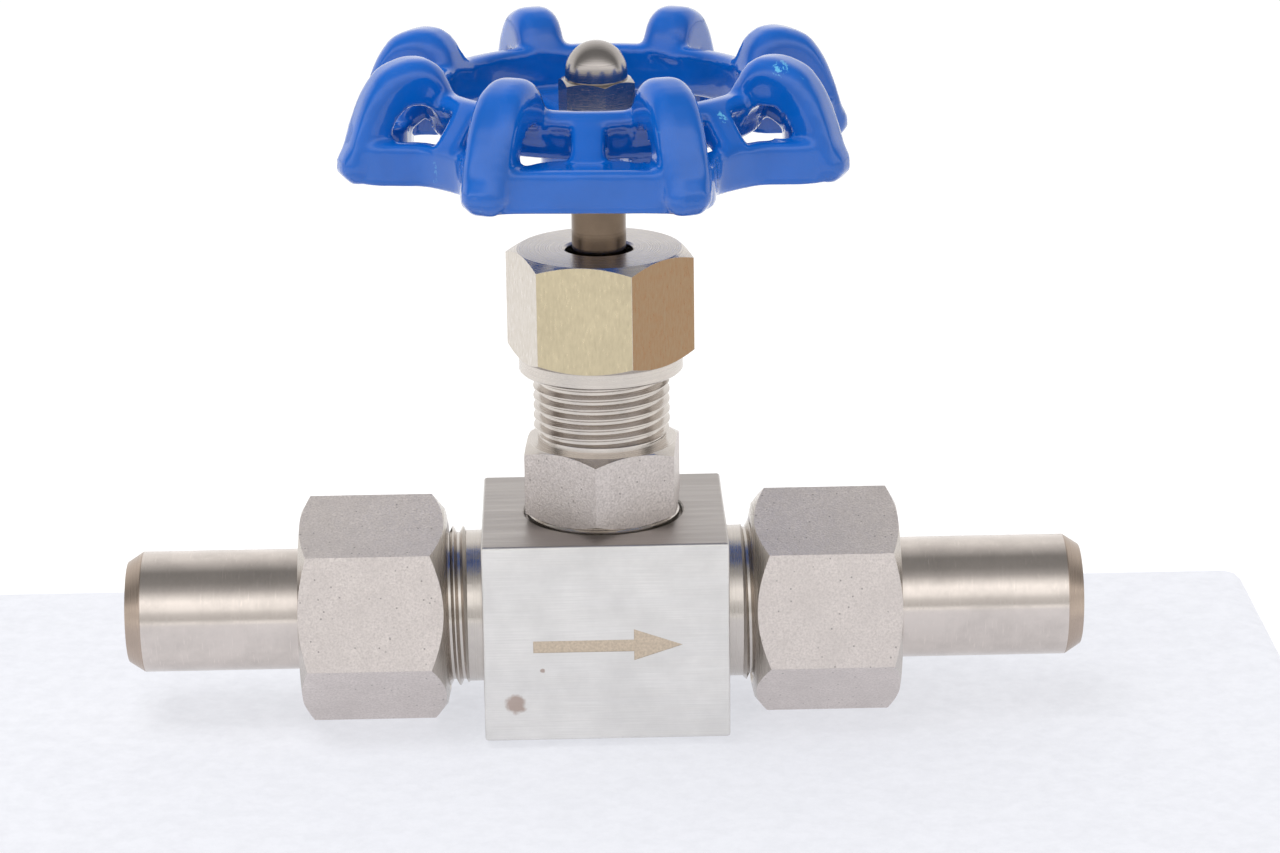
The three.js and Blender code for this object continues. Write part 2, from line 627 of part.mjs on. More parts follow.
// A union nut lying from its block end at zero to its outer end.
function unionNut(turn) {
  const corner = cornerRadius(UNION_NUT_FLATS);
  const chamfer = chamferDepth(UNION_NUT_FLATS);
  const flat = UNION_NUT_FLATS / 2;
  const frontChamfer = (corner - flat) * Math.tan(UNION_NUT_FRONT_CHAMFER * DEGREES);
  const outside = hexagonBar(UNION_NUT_FLATS, turn, [
    [0, 0],
    [UNION_NUT_FACE_RADIUS, 0],
    [flat, UNION_NUT_LIP],
    [corner, UNION_NUT_LIP + frontChamfer],
    [corner, UNION_NUT_LENGTH - chamfer],
    [flat, UNION_NUT_LENGTH],
    [0, UNION_NUT_LENGTH],
  ], 0, UNION_NUT_LENGTH, ROUND);
  const inside = turned([
    [0, -CUT_OVERRUN],
    [UNION_NUT_THREAD_BORE, -CUT_OVERRUN],
    [UNION_NUT_THREAD_BORE, UNION_NUT_LENGTH - UNION_NUT_WALL],
    [UNION_NUT_HOLE, UNION_NUT_LENGTH - UNION_NUT_WALL],
    [UNION_NUT_HOLE, UNION_NUT_LENGTH + CUT_OVERRUN],
    [0, UNION_NUT_LENGTH + CUT_OVERRUN],
  ], ROUND);
  return outside.subtract(inside);
}

function nipple() {
  const collarEnd = NIPPLE_START_X + NIPPLE_COLLAR_LENGTH;
  return turned([
    [NIPPLE_BORE, NIPPLE_START_X],
    [NIPPLE_COLLAR_RADIUS, NIPPLE_START_X],
    [NIPPLE_COLLAR_RADIUS, collarEnd],
    [NIPPLE_RADIUS, collarEnd],
    [NIPPLE_RADIUS, NIPPLE_END_X - NIPPLE_BEVEL_LENGTH],
    [NIPPLE_RADIUS - NIPPLE_BEVEL_DEPTH, NIPPLE_END_X],
    [NIPPLE_BORE, NIPPLE_END_X],
    [NIPPLE_BORE, NIPPLE_START_X],
  ], ROUND);
}

function unionSeal() {
  const start = STUB_END_X + GAP;
  return ring(SEAL_BORE, SEAL_RADIUS, start, start + SEAL_THICKNESS, ROUND);
}

// ------------------------------------------------------------------ assembly

place(upright, "valve_body", valveBody(), brushedSteel);
place(upright, "bonnet", bonnet(), blastedSteel);
place(upright, "bonnet_gasket", bonnetGasket(), sealMetal);
place(upright, "needle_tip", needle(), hardSteel);
place(upright, "stem", stem(), stemSteel);
place(upright, "packing_washer", packingWasher(), turnedSteel);
for (let number = 1; number <= PACKING_RING_COUNT; number += 1) {
  place(upright, `packing_ring_${number}`, packingRing(number), graphite);
}
place(upright, "gland_follower", gland(), turnedSteel);
place(upright, "packing_nut", packingNut(), tarnishedSteel);
place(upright, "handwheel", handwheel(), blueEnamel);
place(upright, "dome_nut", domeNut(), polishedSteel);

// Everything on one side of the block, with the group's own Z pointing outwards.
function unionSide(side, sideTurn, nutStart, nutTurn) {
  const outwards = new THREE.Group();
  outwards.rotation.y = sideTurn * DEGREES;
  upright.add(outwards);
  const nut = place(outwards, `union_nut_${side}`, unionNut(nutTurn), blastedSteel);
  nut.position.z = nutStart;
  place(outwards, `weld_nipple_${side}`, nipple(), polishedSteel);
  place(outwards, `union_seal_${side}`, unionSeal(), sealMetal);
}

unionSide("left", -90, UNION_NUT_START_LEFT, UNION_NUT_TURN_LEFT);
unionSide("right", 90, UNION_NUT_START_RIGHT, UNION_NUT_TURN_RIGHT);

export default valve;
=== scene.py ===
"""Needle valve with welded union ends: the finished pieces, their finishes and the studio.

Metres, +Z up along the stem, +X along the flow, -Y towards the marked face. Heights
are measured from the flow axis, which the frame gives.
"""

import math

import bpy
from bpy.props import FloatProperty, FloatVectorProperty, IntProperty, PointerProperty
from mathutils import Matrix, Vector


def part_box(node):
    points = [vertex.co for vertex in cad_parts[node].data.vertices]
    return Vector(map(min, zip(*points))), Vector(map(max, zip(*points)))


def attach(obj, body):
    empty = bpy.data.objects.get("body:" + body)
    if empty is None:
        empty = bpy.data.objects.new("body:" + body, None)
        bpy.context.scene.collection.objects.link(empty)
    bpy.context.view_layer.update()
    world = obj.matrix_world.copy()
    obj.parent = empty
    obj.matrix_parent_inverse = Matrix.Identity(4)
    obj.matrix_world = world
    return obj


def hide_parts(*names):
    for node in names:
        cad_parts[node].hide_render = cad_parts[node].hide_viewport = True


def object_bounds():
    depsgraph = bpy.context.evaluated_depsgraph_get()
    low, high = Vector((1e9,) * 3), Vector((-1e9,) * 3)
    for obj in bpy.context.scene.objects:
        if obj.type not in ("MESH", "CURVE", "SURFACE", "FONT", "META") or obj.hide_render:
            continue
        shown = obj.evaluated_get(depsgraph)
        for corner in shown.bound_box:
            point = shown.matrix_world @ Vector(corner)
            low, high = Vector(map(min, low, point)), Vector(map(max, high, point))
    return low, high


bl_info = {
    "name": "Needle Valve",
    "version": (1, 0, 0),
    "blender": (4, 5, 0),
    "location": "View3D > Sidebar > Needle Valve",
    "description": "Builds a small needle valve with union ends, its finishes and a studio",
    "category": "Add Mesh",
}

MM = 0.001
FULL_TURN = 2 * math.pi
SAME_POINT = 0.001 * MM
ON_PLANE = 0.0001 * MM

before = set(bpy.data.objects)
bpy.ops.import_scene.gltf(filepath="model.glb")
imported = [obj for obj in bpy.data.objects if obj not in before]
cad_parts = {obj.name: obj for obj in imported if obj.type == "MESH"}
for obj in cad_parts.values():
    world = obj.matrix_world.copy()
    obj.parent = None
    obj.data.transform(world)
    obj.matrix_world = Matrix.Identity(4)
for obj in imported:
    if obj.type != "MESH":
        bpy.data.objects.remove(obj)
CAD_LOW, CAD_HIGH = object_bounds()


def middle(node):
    low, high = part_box(node)
    return (low + high) / 2


AXIS_HEIGHT = middle("weld_nipple_left").z


def level(millimetres):
    """A height above the flow axis."""
    return AXIS_HEIGHT + millimetres * MM


# ---------------------------------------------------------------- properties


def linear(code):
    """A linear colour from an sRGB hex code."""
    parts = [int(code[i:i + 2], 16) / 255 for i in (1, 3, 5)]
    return [p / 12.92 if p <= 0.04045 else ((p + 0.055) / 1.055) ** 2.4 for p in parts]


def size(name, description, default):
    return FloatProperty(name=name, description=description, default=default, unit="LENGTH",
                         min=0.0, precision=5)


def turn(name, description, degrees):
    return FloatProperty(name=name, description=description, default=math.radians(degrees),
                         unit="ROTATION", subtype="ANGLE")


def colour(name, description, code):
    return FloatVectorProperty(name=name, description=description, default=linear(code),
                               size=3, min=0.0, max=1.0, subtype="COLOR")


class ValveSizes(bpy.types.PropertyGroup):
    """Sizes of the block and of the turned and milled pieces."""

    round_sides: IntProperty(name="Round sides", description="Sides of the turned pieces",
                             default=112, min=24, max=256)
    edge: size("Edge break", "Width of the broken edges on machined pieces", 0.22 * MM)
    block_width: size("Block width", "Block across the flow, without its stubs", 36 * MM)
    block_edge: size("Block edge", "Rounding of the block's edges", 0.45 * MM)
    union_pitch: size("Union pitch", "Pitch of the M24 union threads", 1.5 * MM)
    gland_pitch: size("Gland pitch", "Pitch of the bonnet's M20 thread", 1.5 * MM)
    stem_pitch: size("Stem pitch", "Pitch of the stem's M10 thread", 1 * MM)
    bonnet_flats: size("Bonnet flats", "Bonnet hexagon across its flats", 22 * MM)
    bonnet_turn: turn("Bonnet turn", "How the bonnet's hexagon stands", 24.8)
    packing_flats: size("Packing nut flats", "Packing nut across its flats", 24.2 * MM)
    packing_turn: turn("Packing nut turn", "How the packing nut's hexagon stands", 48.6)
    union_flats: size("Union nut flats", "Union nuts across their flats", 29.1 * MM)
    union_turn_left: turn("Left nut turn", "How the left nut's hexagon stands", 15.3)
    union_turn_right: turn("Right nut turn", "How the right nut's hexagon stands", 48.1)
    dome_flats: size("Domed nut flats", "Domed nut across its flats", 10 * MM)
    dome_turn: turn("Domed nut turn", "How the domed nut's hexagon stands", 42)
    mark_depth: size("Mark depth", "Depth of the etched flow arrow", 0.06 * MM)


class WheelSizes(bpy.types.PropertyGroup):
    """Sizes of the cast handwheel."""

    lobes: IntProperty(name="Lobes", description="Arches round the rim", default=8, min=3)
    first_lobe: turn("First lobe", "Angle of the first arch from the flow", 19.15)
    arch_width: size("Arch width", "Width of an arch along the rim", 7.2 * MM)
    arch_round: size("Arch rounding", "Rounding of an arch's outer edges", 2.3 * MM)
    bridge_width: size("Bridge width", "Width of the webs between the arches", 4.8 * MM)
    spoke_width: size("Spoke width", "Width of the four spokes", 6 * MM)
    hub_radius: size("Hub radius", "Radius of the hub", 8.2 * MM)
    square_half: size("Square", "Half the square hole of the hub", 3.3 * MM)
    cast_grain: size("Casting detail", "Smallest detail left by the casting", 0.44 * MM)


class Finishes(bpy.types.PropertyGroup):
    """Colours of the metals and of the enamel."""

    block: colour("Block", "Wire-brushed stainless steel", "#EFEDEA")
    top: colour("Milled", "Milled top of the block", "#B6B0AC")
    blasted: colour("Blasted", "Shot-blasted stainless steel", "#E6DEDA")
    turned: colour("Turned", "Fine-turned stainless steel", "#D6CFC8")
    straw: colour("Straw tint", "Packing nut, tinted by heat", "#D2C5A6")
    # Brown is also the painted reflection on the packing nut's flats that face right.
    brown: colour("Brown tint", "Stronger heat tint", "#9E7C5C")
    # The stem colour is a brown film made darker to stand for the shade under the handwheel:
    # partly painted shade.
    stem: colour("Stem", "Ground stem with a brown film", "#7A6A5B")
    polished: colour("Polished", "Drawn and polished stainless steel", "#DAD1CA")
    etched: colour("Etched", "Laser-etched mark", "#D4C4B0")
    rust: colour("Rust", "Light rust stain", "#8A5A38")
    enamel: colour("Enamel", "Blue stoving enamel", "#0560C0")
    # The primer colour is also the painted highlight flecked along the wheel's sharp edges.
    chip: colour("Chip", "Primer that shows in the chips", "#5FB4E0")
    graphite: colour("Graphite", "Pressed graphite packing", "#26262A")
    floor: colour("Floor", "Pale foam block", "#C2C3C8")
    table: colour("Table", "White table behind the foam", "#D8D8D8")


class Studio(bpy.types.PropertyGroup):
    """Camera, lights and floor."""

    lens: FloatProperty(name="Lens", description="Focal length", default=108.98,
                        unit="CAMERA", min=1.0)
    distance: size("Distance", "From the camera to what it looks at", 572.5 * MM)
    azimuth: turn("Azimuth", "Camera's turn round the valve", 1.107)
    elevation: turn("Elevation", "Camera's height above the level", 17.176)
    roll: turn("Roll", "Camera's roll", -0.763)
    aside: size("Aside", "Aim to the right of the stem", 5.612 * MM)
    aim: size("Aim", "Aim above the flow axis", 27.471 * MM)
    floor_radius: size("Floor radius", "Size of the table", 3000 * MM)
    foam_left: size("Foam left", "Foam to the left of the stem", 140 * MM)
    foam_right: size("Foam right", "Foam to the right of the stem", 106 * MM)
    foam_front: size("Foam front", "Foam in front of the stem", 150 * MM)
    foam_back: size("Foam back", "Foam behind the stem", 58 * MM)
    foam_height: size("Foam height", "Thickness of the foam", 20 * MM)
    lamp_power: FloatProperty(name="Lamp", description="Power of the overhead softbox",
                              default=5.0, min=0.0)


def settings(name):
    return getattr(bpy.context.scene, name)


# ------------------------------------------------------------------ modelling


def clear_selection():
    if bpy.context.object and bpy.context.object.mode != "OBJECT":
        bpy.ops.object.mode_set(mode="OBJECT")
    bpy.ops.object.select_all(action="DESELECT")


def make_active(obj):
    clear_selection()
    obj.select_set(True)
    bpy.context.view_layer.objects.active = obj


def edit_all(obj):
    """Enter edit mode with the whole piece selected."""
    make_active(obj)
    bpy.ops.object.mode_set(mode="EDIT")
    bpy.ops.mesh.select_mode(type="VERT")
    bpy.ops.mesh.select_all(action="SELECT")


def close_shell():
    """Merge what meets and point every face outwards, in edit mode."""
    bpy.ops.mesh.select_all(action="SELECT")
    bpy.ops.mesh.remove_doubles(threshold=SAME_POINT)
    bpy.ops.mesh.normals_make_consistent(inside=False)
    bpy.ops.object.mode_set(mode="OBJECT")


def drawn_line(name, points):
    """A line drawn from point to point, left in edit mode with its last end selected."""
    clear_selection()
    bpy.ops.mesh.primitive_plane_add(size=MM)
    obj = bpy.context.object
    obj.name = name
    bpy.ops.object.mode_set(mode="EDIT")
    bpy.ops.mesh.select_mode(type="VERT")
    bpy.ops.mesh.select_all(action="SELECT")
    bpy.ops.mesh.merge(type="CENTER")
    here = Vector(points[0])
    bpy.ops.transform.translate(value=here)
    for point in points[1:]:
        step = Vector(point) - here
        bpy.ops.mesh.extrude_vertices_move(TRANSFORM_OT_translate={"value": step})
        here = here + step
    return obj


def turned(name, outline, sides=None):
    """A piece turned about Z from an outline of (radius, height)."""
    obj = drawn_line(name, [(radius, 0, height) for radius, height in outline])
    bpy.ops.mesh.select_all(action="SELECT")
    bpy.ops.mesh.spin(steps=sides or settings("valve_sizes").round_sides, angle=FULL_TURN,
                      center=(0, 0, 0), axis=(0, 0, 1))
    close_shell()
    return obj


def slab(name, outline, push):
    """A closed outline filled and pushed out into a slab."""
    obj = drawn_line(name, outline)
    bpy.ops.mesh.select_all(action="SELECT")
    bpy.ops.mesh.edge_face_add()
    bpy.ops.mesh.extrude_region_move(TRANSFORM_OT_translate={"value": push})
    close_shell()
    return obj


def bar(name, flats, turned_by, bottom, top):
    """A hexagon bar about Z."""
    clear_selection()
    bpy.ops.mesh.primitive_cylinder_add(
        vertices=6, radius=flats / math.sqrt(3), depth=top - bottom,
        location=(0, 0, (top + bottom) / 2), rotation=(0, 0, turned_by + math.pi / 2))
    obj = bpy.context.object
    obj.name = name
    settle(obj)
    return obj


def box_piece(name, low, high, edge=0.0):
    """A block between two corners, with its edges rounded."""
    low, high = Vector(low), Vector(high)
    clear_selection()
    bpy.ops.mesh.primitive_cube_add(size=1, location=(low + high) / 2, scale=high - low)
    obj = bpy.context.object
    obj.name = name
    settle(obj)
    if edge:
        edit_all(obj)
        bpy.ops.mesh.bevel(offset=edge, segments=3, affect="EDGES")
        bpy.ops.object.mode_set(mode="OBJECT")
    return obj


def settle(obj):
    """Put the object's place, turn and size into its mesh."""
    make_active(obj)
    bpy.ops.object.transform_apply(location=True, rotation=True, scale=True)


def moved(obj, turned_by=(0, 0, 0), shift=(0, 0, 0)):
    """Turn a piece about the origin, then shift it."""
    obj.rotation_euler = turned_by
    obj.location = shift
    settle(obj)
    return obj


def copy_of(obj, name):
    clear_selection()
    made = obj.copy()
    made.data = obj.data.copy()
    made.name = name
    bpy.context.scene.collection.objects.link(made)
    return made


def apply_modifier(obj, kind, **options):
    make_active(obj)
    modifier = obj.modifiers.new(kind.title(), kind)
    for name, value in options.items():
        setattr(modifier, name, value)
    bpy.ops.object.modifier_apply(modifier=modifier.name)


def combine(obj, tool, operation):
    """Join, cut or intersect with a tool, which is used up."""
    apply_modifier(obj, "BOOLEAN", object=tool, operation=operation, solver="EXACT")
    bpy.data.objects.remove(tool)
    return obj


def pick_edges(obj, wanted):
    """Select the edges whose two ends pass the test, and enter edit mode."""
    make_active(obj)
    mesh = obj.data
    for polygon in mesh.polygons:
        polygon.select = False
    for vertex in mesh.vertices:
        vertex.select = False
    for edge in mesh.edges:
        ends = [mesh.vertices[i].co for i in edge.vertices]
        edge.select = wanted(ends[0], ends[1])
    bpy.ops.object.mode_set(mode="EDIT")
    bpy.ops.mesh.select_mode(type="EDGE")


def round_edges(obj, wanted, width, segments):
    pick_edges(obj, wanted)
    bpy.ops.mesh.bevel(offset=width, segments=segments, affect="EDGES", clamp_overlap=False)
    bpy.ops.object.mode_set(mode="OBJECT")


def break_edges(obj, width, angle=28):
    """Small rounded bevels on every sharp edge."""
    apply_modifier(obj, "BEVEL", width=width, segments=2, limit_method="ANGLE",
                   angle_limit=math.radians(angle), use_clamp_overlap=True)


def smooth(obj, angle=32):
    """Smooth shading that keeps corners, with large flats kept flat."""
    make_active(obj)
    bpy.ops.object.shade_smooth_by_angle(angle=math.radians(angle))
    apply_modifier(obj, "WEIGHTED_NORMAL", keep_sharp=True, weight=80)


def thread_rod(name, crest, root, pitch, bottom, top):
    """A solid rod with a right-hand thread between two heights."""
    root_flat = 0.25 * pitch
    crest_start = 0.5625 * pitch
    crest_end = 0.6875 * pitch
    start = bottom - 2.0035 * pitch
    points = []
    for number in range(math.ceil((top - bottom) / pitch) + 4):
        foot = start + number * pitch
        points.append((root, 0, foot))
        points.append((root, 0, foot + root_flat))
        points.append((crest, 0, foot + crest_start))
        points.append((crest, 0, foot + crest_end))
    obj = drawn_line(name, points)
    bpy.ops.object.mode_set(mode="OBJECT")
    sides = 72
    apply_modifier(obj, "SCREW", angle=FULL_TURN, screw_offset=pitch, steps=sides,
                   render_steps=sides, use_merge_vertices=False)
    edit_all(obj)
    bpy.ops.mesh.remove_doubles(threshold=SAME_POINT)
    bpy.ops.mesh.select_all(action="SELECT")
    bpy.ops.mesh.bisect(plane_co=(0, 0, bottom), plane_no=(0, 0, 1), use_fill=True,
                        clear_inner=True, threshold=ON_PLANE)
    bpy.ops.mesh.select_all(action="SELECT")
    bpy.ops.mesh.bisect(plane_co=(0, 0, top), plane_no=(0, 0, 1), use_fill=True,
                        clear_outer=True, threshold=ON_PLANE)
    close_shell()
    return obj


def chamfered_hexagon(name, flats, turned_by, outline, bottom, top):
    """A hexagon whose corners are turned away by an outline, with broken edges."""
    edge = settings("valve_sizes").edge
    obj = bar(name, flats, turned_by, bottom, top)
    combine(obj, turned("envelope", outline), "INTERSECT")
    break_edges(obj, edge)
    return obj


def paint_faces(obj, materials, chooser):
    """Give a piece its materials, and each face the one that the chooser names."""
    obj.data.materials.clear()
    for material in materials:
        obj.data.materials.append(material)
    for polygon in obj.data.polygons:
        polygon.material_index = chooser(polygon.center, polygon.normal)


def hexagon_flat(flats, turned_by, axis):
    """A test for the faces that lie on a hexagon's flats, about Z or about X."""
    normals = [turned_by + math.pi / 6 + k * math.pi / 3 for k in range(6)]

    def test(centre, normal):
        if axis == "Z":
            place, facing = (centre.x, centre.y), (normal.x, normal.y)
        else:
            place, facing = (centre.y, centre.z - AXIS_HEIGHT), (normal.y, normal.z)
        for angle in normals:
            way = (math.cos(angle), math.sin(angle))
            out = place[0] * way[0] + place[1] * way[1]
            straight = facing[0] * way[0] + facing[1] * way[1]
            if straight > 0.9995 and abs(out - flats / 2) < 0.02 * MM:
                return True
        return False

    return test


def finish_piece(obj, body, node):
    """Hang a finished piece on its body, in place of its CAD node."""
    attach(obj, body)
    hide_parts(node)


# ------------------------------------------------------------------ materials


def add(tree, kind, inputs=None, **options):
    """Add a node, set its options, and fill or link its inputs."""
    made = tree.nodes.new(kind)
    for name, value in options.items():
        setattr(made, name, value)
    for key, value in (inputs or {}).items():
        if isinstance(value, bpy.types.NodeSocket):
            tree.links.new(value, made.inputs[key])
        else:
            made.inputs[key].default_value = value
    return made


def new_material(name, metallic=1.0, **fixed):
    """A material with its shader, and the object's own coordinates."""
    material = bpy.data.materials.new(name)
    material.use_nodes = True
    tree = material.node_tree
    shader = tree.nodes["Principled BSDF"]
    shader.inputs["Metallic"].default_value = metallic
    for socket, value in fixed.items():
        shader.inputs[socket.replace("_", " ")].default_value = value
    place = add(tree, "ShaderNodeTexCoord").outputs["Object"]
    return material, tree, shader, place


def solid(group_colour):
    return (*group_colour, 1.0)


def shaded(group_colour, factor):
    """A colour made darker or lighter by a factor."""
    return solid([part * factor for part in group_colour])


def maths(tree, operation, first, second, clamped=False):
    """One sum, product or other operation on two values."""
    return add(tree, "ShaderNodeMath", {0: first, 1: second}, operation=operation,
               use_clamp=clamped).outputs["Value"]


def stretch(tree, value, low, high):
    """Spread a value so that it runs from 0 at one threshold to 1 at the other."""
    return add(tree, "ShaderNodeMapRange", {"Value": value, "From Min": low,
                                            "From Max": high}).outputs["Result"]


def blend_colours(tree, factor, first, second):
    """One colour over another by a factor."""
    mixed = add(tree, "ShaderNodeMix", {0: factor, 6: first, 7: second}, data_type="RGBA")
    return mixed.outputs[2]


def speckle(tree, place, grain, low, high, detail=2.0):
    """Cloudy noise of a real grain size, spread between two thresholds."""
    noise = add(tree, "ShaderNodeTexNoise", {"Vector": place, "Scale": 1 / grain,
                                             "Detail": detail, "Roughness": 0.6})
    return stretch(tree, noise.outputs["Fac"], low, high)


def streaks(tree, place, spacing, low=0.3, high=0.7):
    """Noise drawn out along the axes on which the spacing is long."""
    stretched = add(tree, "ShaderNodeMapping", {"Vector": place,
                                                "Scale": [1 / gap for gap in spacing]})
    return speckle(tree, stretched.outputs["Vector"], 1.0, low, high, 3.0)


def tool_marks(tree, place, axis, spacing, centre):
    """Fine rings left by turning, about Z or about X through the given centre."""
    moved_place = add(tree, "ShaderNodeVectorMath", {0: place, 1: centre},
                      operation="SUBTRACT").outputs["Vector"]
    keep = (1, 1, 0) if axis == "Z" else (0, 1, 1)
    along = (0, 0, 1) if axis == "Z" else (1, 0, 0)
    flat = add(tree, "ShaderNodeVectorMath", {0: moved_place, 1: keep}, operation="MULTIPLY")
    radius = add(tree, "ShaderNodeVectorMath", {0: flat.outputs["Vector"]},
                 operation="LENGTH").outputs["Value"]
    depth = add(tree, "ShaderNodeVectorMath", {0: moved_place, 1: along},
                operation="DOT_PRODUCT").outputs["Value"]
    rings = add(tree, "ShaderNodeCombineXYZ", {"X": radius, "Y": depth}).outputs["Vector"]
    return speckle(tree, rings, spacing, 0.3, 0.7, 3.0)


def spot(tree, place, centre, reach, ragged):
    """A ragged patch round a point, 1 inside and 0 outside."""
    noise = add(tree, "ShaderNodeTexNoise", {"Vector": place, "Scale": 1 / ragged,
                                             "Detail": 3.0})
    away = add(tree, "ShaderNodeVectorMath", {0: place, 1: centre}, operation="DISTANCE")
    wobble = maths(tree, "MULTIPLY", noise.outputs["Fac"], reach)
    total = maths(tree, "ADD", away.outputs["Value"], wobble)
    return stretch(tree, total, reach * 1.6, reach * 1.2)


def rough(tree, shader, pattern, smoothest, roughest):
    spread = add(tree, "ShaderNodeMapRange", {"Value": pattern, "To Min": smoothest,
                                              "To Max": roughest})
    tree.links.new(spread.outputs["Result"], shader.inputs["Roughness"])
    return spread.outputs["Result"]


def raise_surface(tree, shader, heights):
    """Chain bumps onto the shader, each given as pattern, strength and depth."""
    normal = None
    for pattern, strength, depth in heights:
        inputs = {"Height": pattern, "Strength": strength, "Distance": depth}
        if normal:
            inputs["Normal"] = normal
        normal = add(tree, "ShaderNodeBump", inputs).outputs["Normal"]
    tree.links.new(normal, shader.inputs["Normal"])


def wire_brushed_steel():
    """Stainless bar, wire-brushed along the flow: bright, with fine level scratches,
    cloudy patches and two small rust stains."""
    finishes = settings("valve_finishes")
    material, tree, shader, place = new_material("wire_brushed_stainless")
    scratches = streaks(tree, place, (9 * MM, 0.16 * MM, 0.16 * MM))
    broad = streaks(tree, place, (22 * MM, 1.1 * MM, 1.1 * MM))
    clouds = speckle(tree, place, 7 * MM, 0.35, 0.7, 4.0)
    facing = add(tree, "ShaderNodeSeparateXYZ",
                 {"Vector": add(tree, "ShaderNodeNewGeometry").outputs["Normal"]})
    upward = stretch(tree, facing.outputs["Z"], 0.6, 0.95)
    bright = blend_colours(tree, clouds, solid(finishes.block),
                           shaded(finishes.block, 0.86))
    lined = blend_colours(tree, scratches, bright, shaded(finishes.block, 0.8))
    brushed = blend_colours(tree, 0.5, bright, lined)
    base = blend_colours(tree, upward, brushed, solid(finishes.top))
    stain = spot(tree, place, (-13.4 * MM, middle("valve_body").y - 16.8 * MM, level(-9.6)),
                 1.5 * MM, 1.1 * MM)
    dot = spot(tree, place, (-9.4 * MM, -16.8 * MM, level(-4.4)), 0.35 * MM, 0.5 * MM)
    soft_fleck = maths(tree, "MULTIPLY", maths(tree, "MAXIMUM", stain, dot, True), 0.55)
    dirty = blend_colours(tree, soft_fleck, base, solid(finishes.rust))
    tree.links.new(dirty, shader.inputs["Base Color"])
    mixed = add(tree, "ShaderNodeMath", {0: scratches, 1: 0.6, 2: broad},
                operation="MULTIPLY_ADD").outputs["Value"]
    rough(tree, shader, mixed, 0.3, 0.48)
    raise_surface(tree, shader, [(scratches, 0.35, 0.02 * MM), (broad, 0.25, 0.05 * MM)])
    return material


def etched_mark():
    """Laser-etched steel: a matt tan film a few hundredths deep, a little darker in spots."""
    finishes = settings("valve_finishes")
    material, tree, shader, place = new_material("laser_etched_mark", 0.35)
    grain = speckle(tree, place, 0.35 * MM, 0.3, 0.7)
    base = blend_colours(tree, grain, solid(finishes.etched),
                         shaded(finishes.etched, 0.8))
    tree.links.new(base, shader.inputs["Base Color"])
    rough(tree, shader, grain, 0.5, 0.68)
    raise_surface(tree, shader, [(grain, 0.3, 0.03 * MM)])
    return material


def blasted_steel(name, tint, darkest):
    """Shot-blasted stainless: a sparkling 0.2 mm grain (drawn at 0.3 mm so that it
    shows), soft cloudy tone and small dark pits."""
    material, tree, shader, place = new_material(name)
    grain = speckle(tree, place, 0.3 * MM, 0.32, 0.68, 3.0)
    clouds = speckle(tree, place, 4.5 * MM, 0.35, 0.68, 3.0)
    pits = add(tree, "ShaderNodeTexVoronoi", {"Vector": place, "Scale": 1 / (1.5 * MM)},
               feature="F1")
    pit = stretch(tree, pits.outputs["Distance"], 0.12, 0.05)
    tone = blend_colours(tree, clouds, solid(tint), shaded(tint, 0.9))
    grainy = blend_colours(tree, grain, tone, shaded(tint, darkest))
    pitted = blend_colours(tree, pit, grainy, shaded(tint, 0.45))
    tree.links.new(pitted, shader.inputs["Base Color"])
    rough(tree, shader, grain, 0.36, 0.56)
    raise_surface(tree, shader, [(grain, 0.5, 0.05 * MM), (clouds, 0.3, 0.08 * MM)])
    return material


def turned_steel(name, tint, axis, centre, smoothest=0.16, roughest=0.36, dark=0.8):
    """Fine-turned stainless: concentric tool marks 0.12 mm apart, drawn a little coarser,
    and a faint film of handling."""
    material, tree, shader, place = new_material(name)
    marks = tool_marks(tree, place, axis, 0.18 * MM, centre)
    film = speckle(tree, place, 5 * MM, 0.35, 0.7, 4.0)
    base = blend_colours(tree, film, solid(tint), shaded(tint, dark))
    lined = blend_colours(tree, marks, base, shaded(tint, 0.9))
    tree.links.new(lined, shader.inputs["Base Color"])
    rough(tree, shader, marks, smoothest, roughest)
    raise_surface(tree, shader, [(marks, 0.25, 0.02 * MM)])
    return material


def heat_tint_and_reflection_nut_steel():
    """Milled stainless tinted straw by heat, with upright grain and cloudy patches. Each flat is
    made brown or clean by the way it faces: painted reflection."""
    finishes = settings("valve_finishes")
    material, tree, shader, place = new_material("heat_tint_and_painted_reflection_stainless")
    grain = streaks(tree, place, (0.35 * MM, 0.35 * MM, 1.2 * MM))
    clouds = speckle(tree, place, 6 * MM, 0.3, 0.7, 3.0)
    facing = add(tree, "ShaderNodeTexCoord").outputs["Normal"]
    sides = add(tree, "ShaderNodeSeparateXYZ", {"Vector": facing})
    # Painted reflection: flats that face right are tinted brown, and flats that face left get
    # the clean turned colour.
    painted_reflection_right = stretch(tree, sides.outputs["X"], 0.1, 0.5)
    painted_reflection_left = stretch(tree, sides.outputs["X"], -0.5, -0.8)
    straw = blend_colours(tree, clouds, solid(finishes.straw),
                          shaded(finishes.straw, 0.9))
    straw_and_right_reflection = blend_colours(tree, painted_reflection_right, straw, solid(finishes.brown))
    straw_and_painted_reflections = blend_colours(tree, painted_reflection_left, straw_and_right_reflection, solid(finishes.turned))
    specked = blend_colours(tree, grain, straw_and_painted_reflections, shaded(finishes.straw, 0.7))
    soft = blend_colours(tree, 0.35, straw_and_painted_reflections, specked)
    tree.links.new(soft, shader.inputs["Base Color"])
    rough(tree, shader, grain, 0.26, 0.42)
    raise_surface(tree, shader, [(grain, 0.2, 0.02 * MM)])
    return material


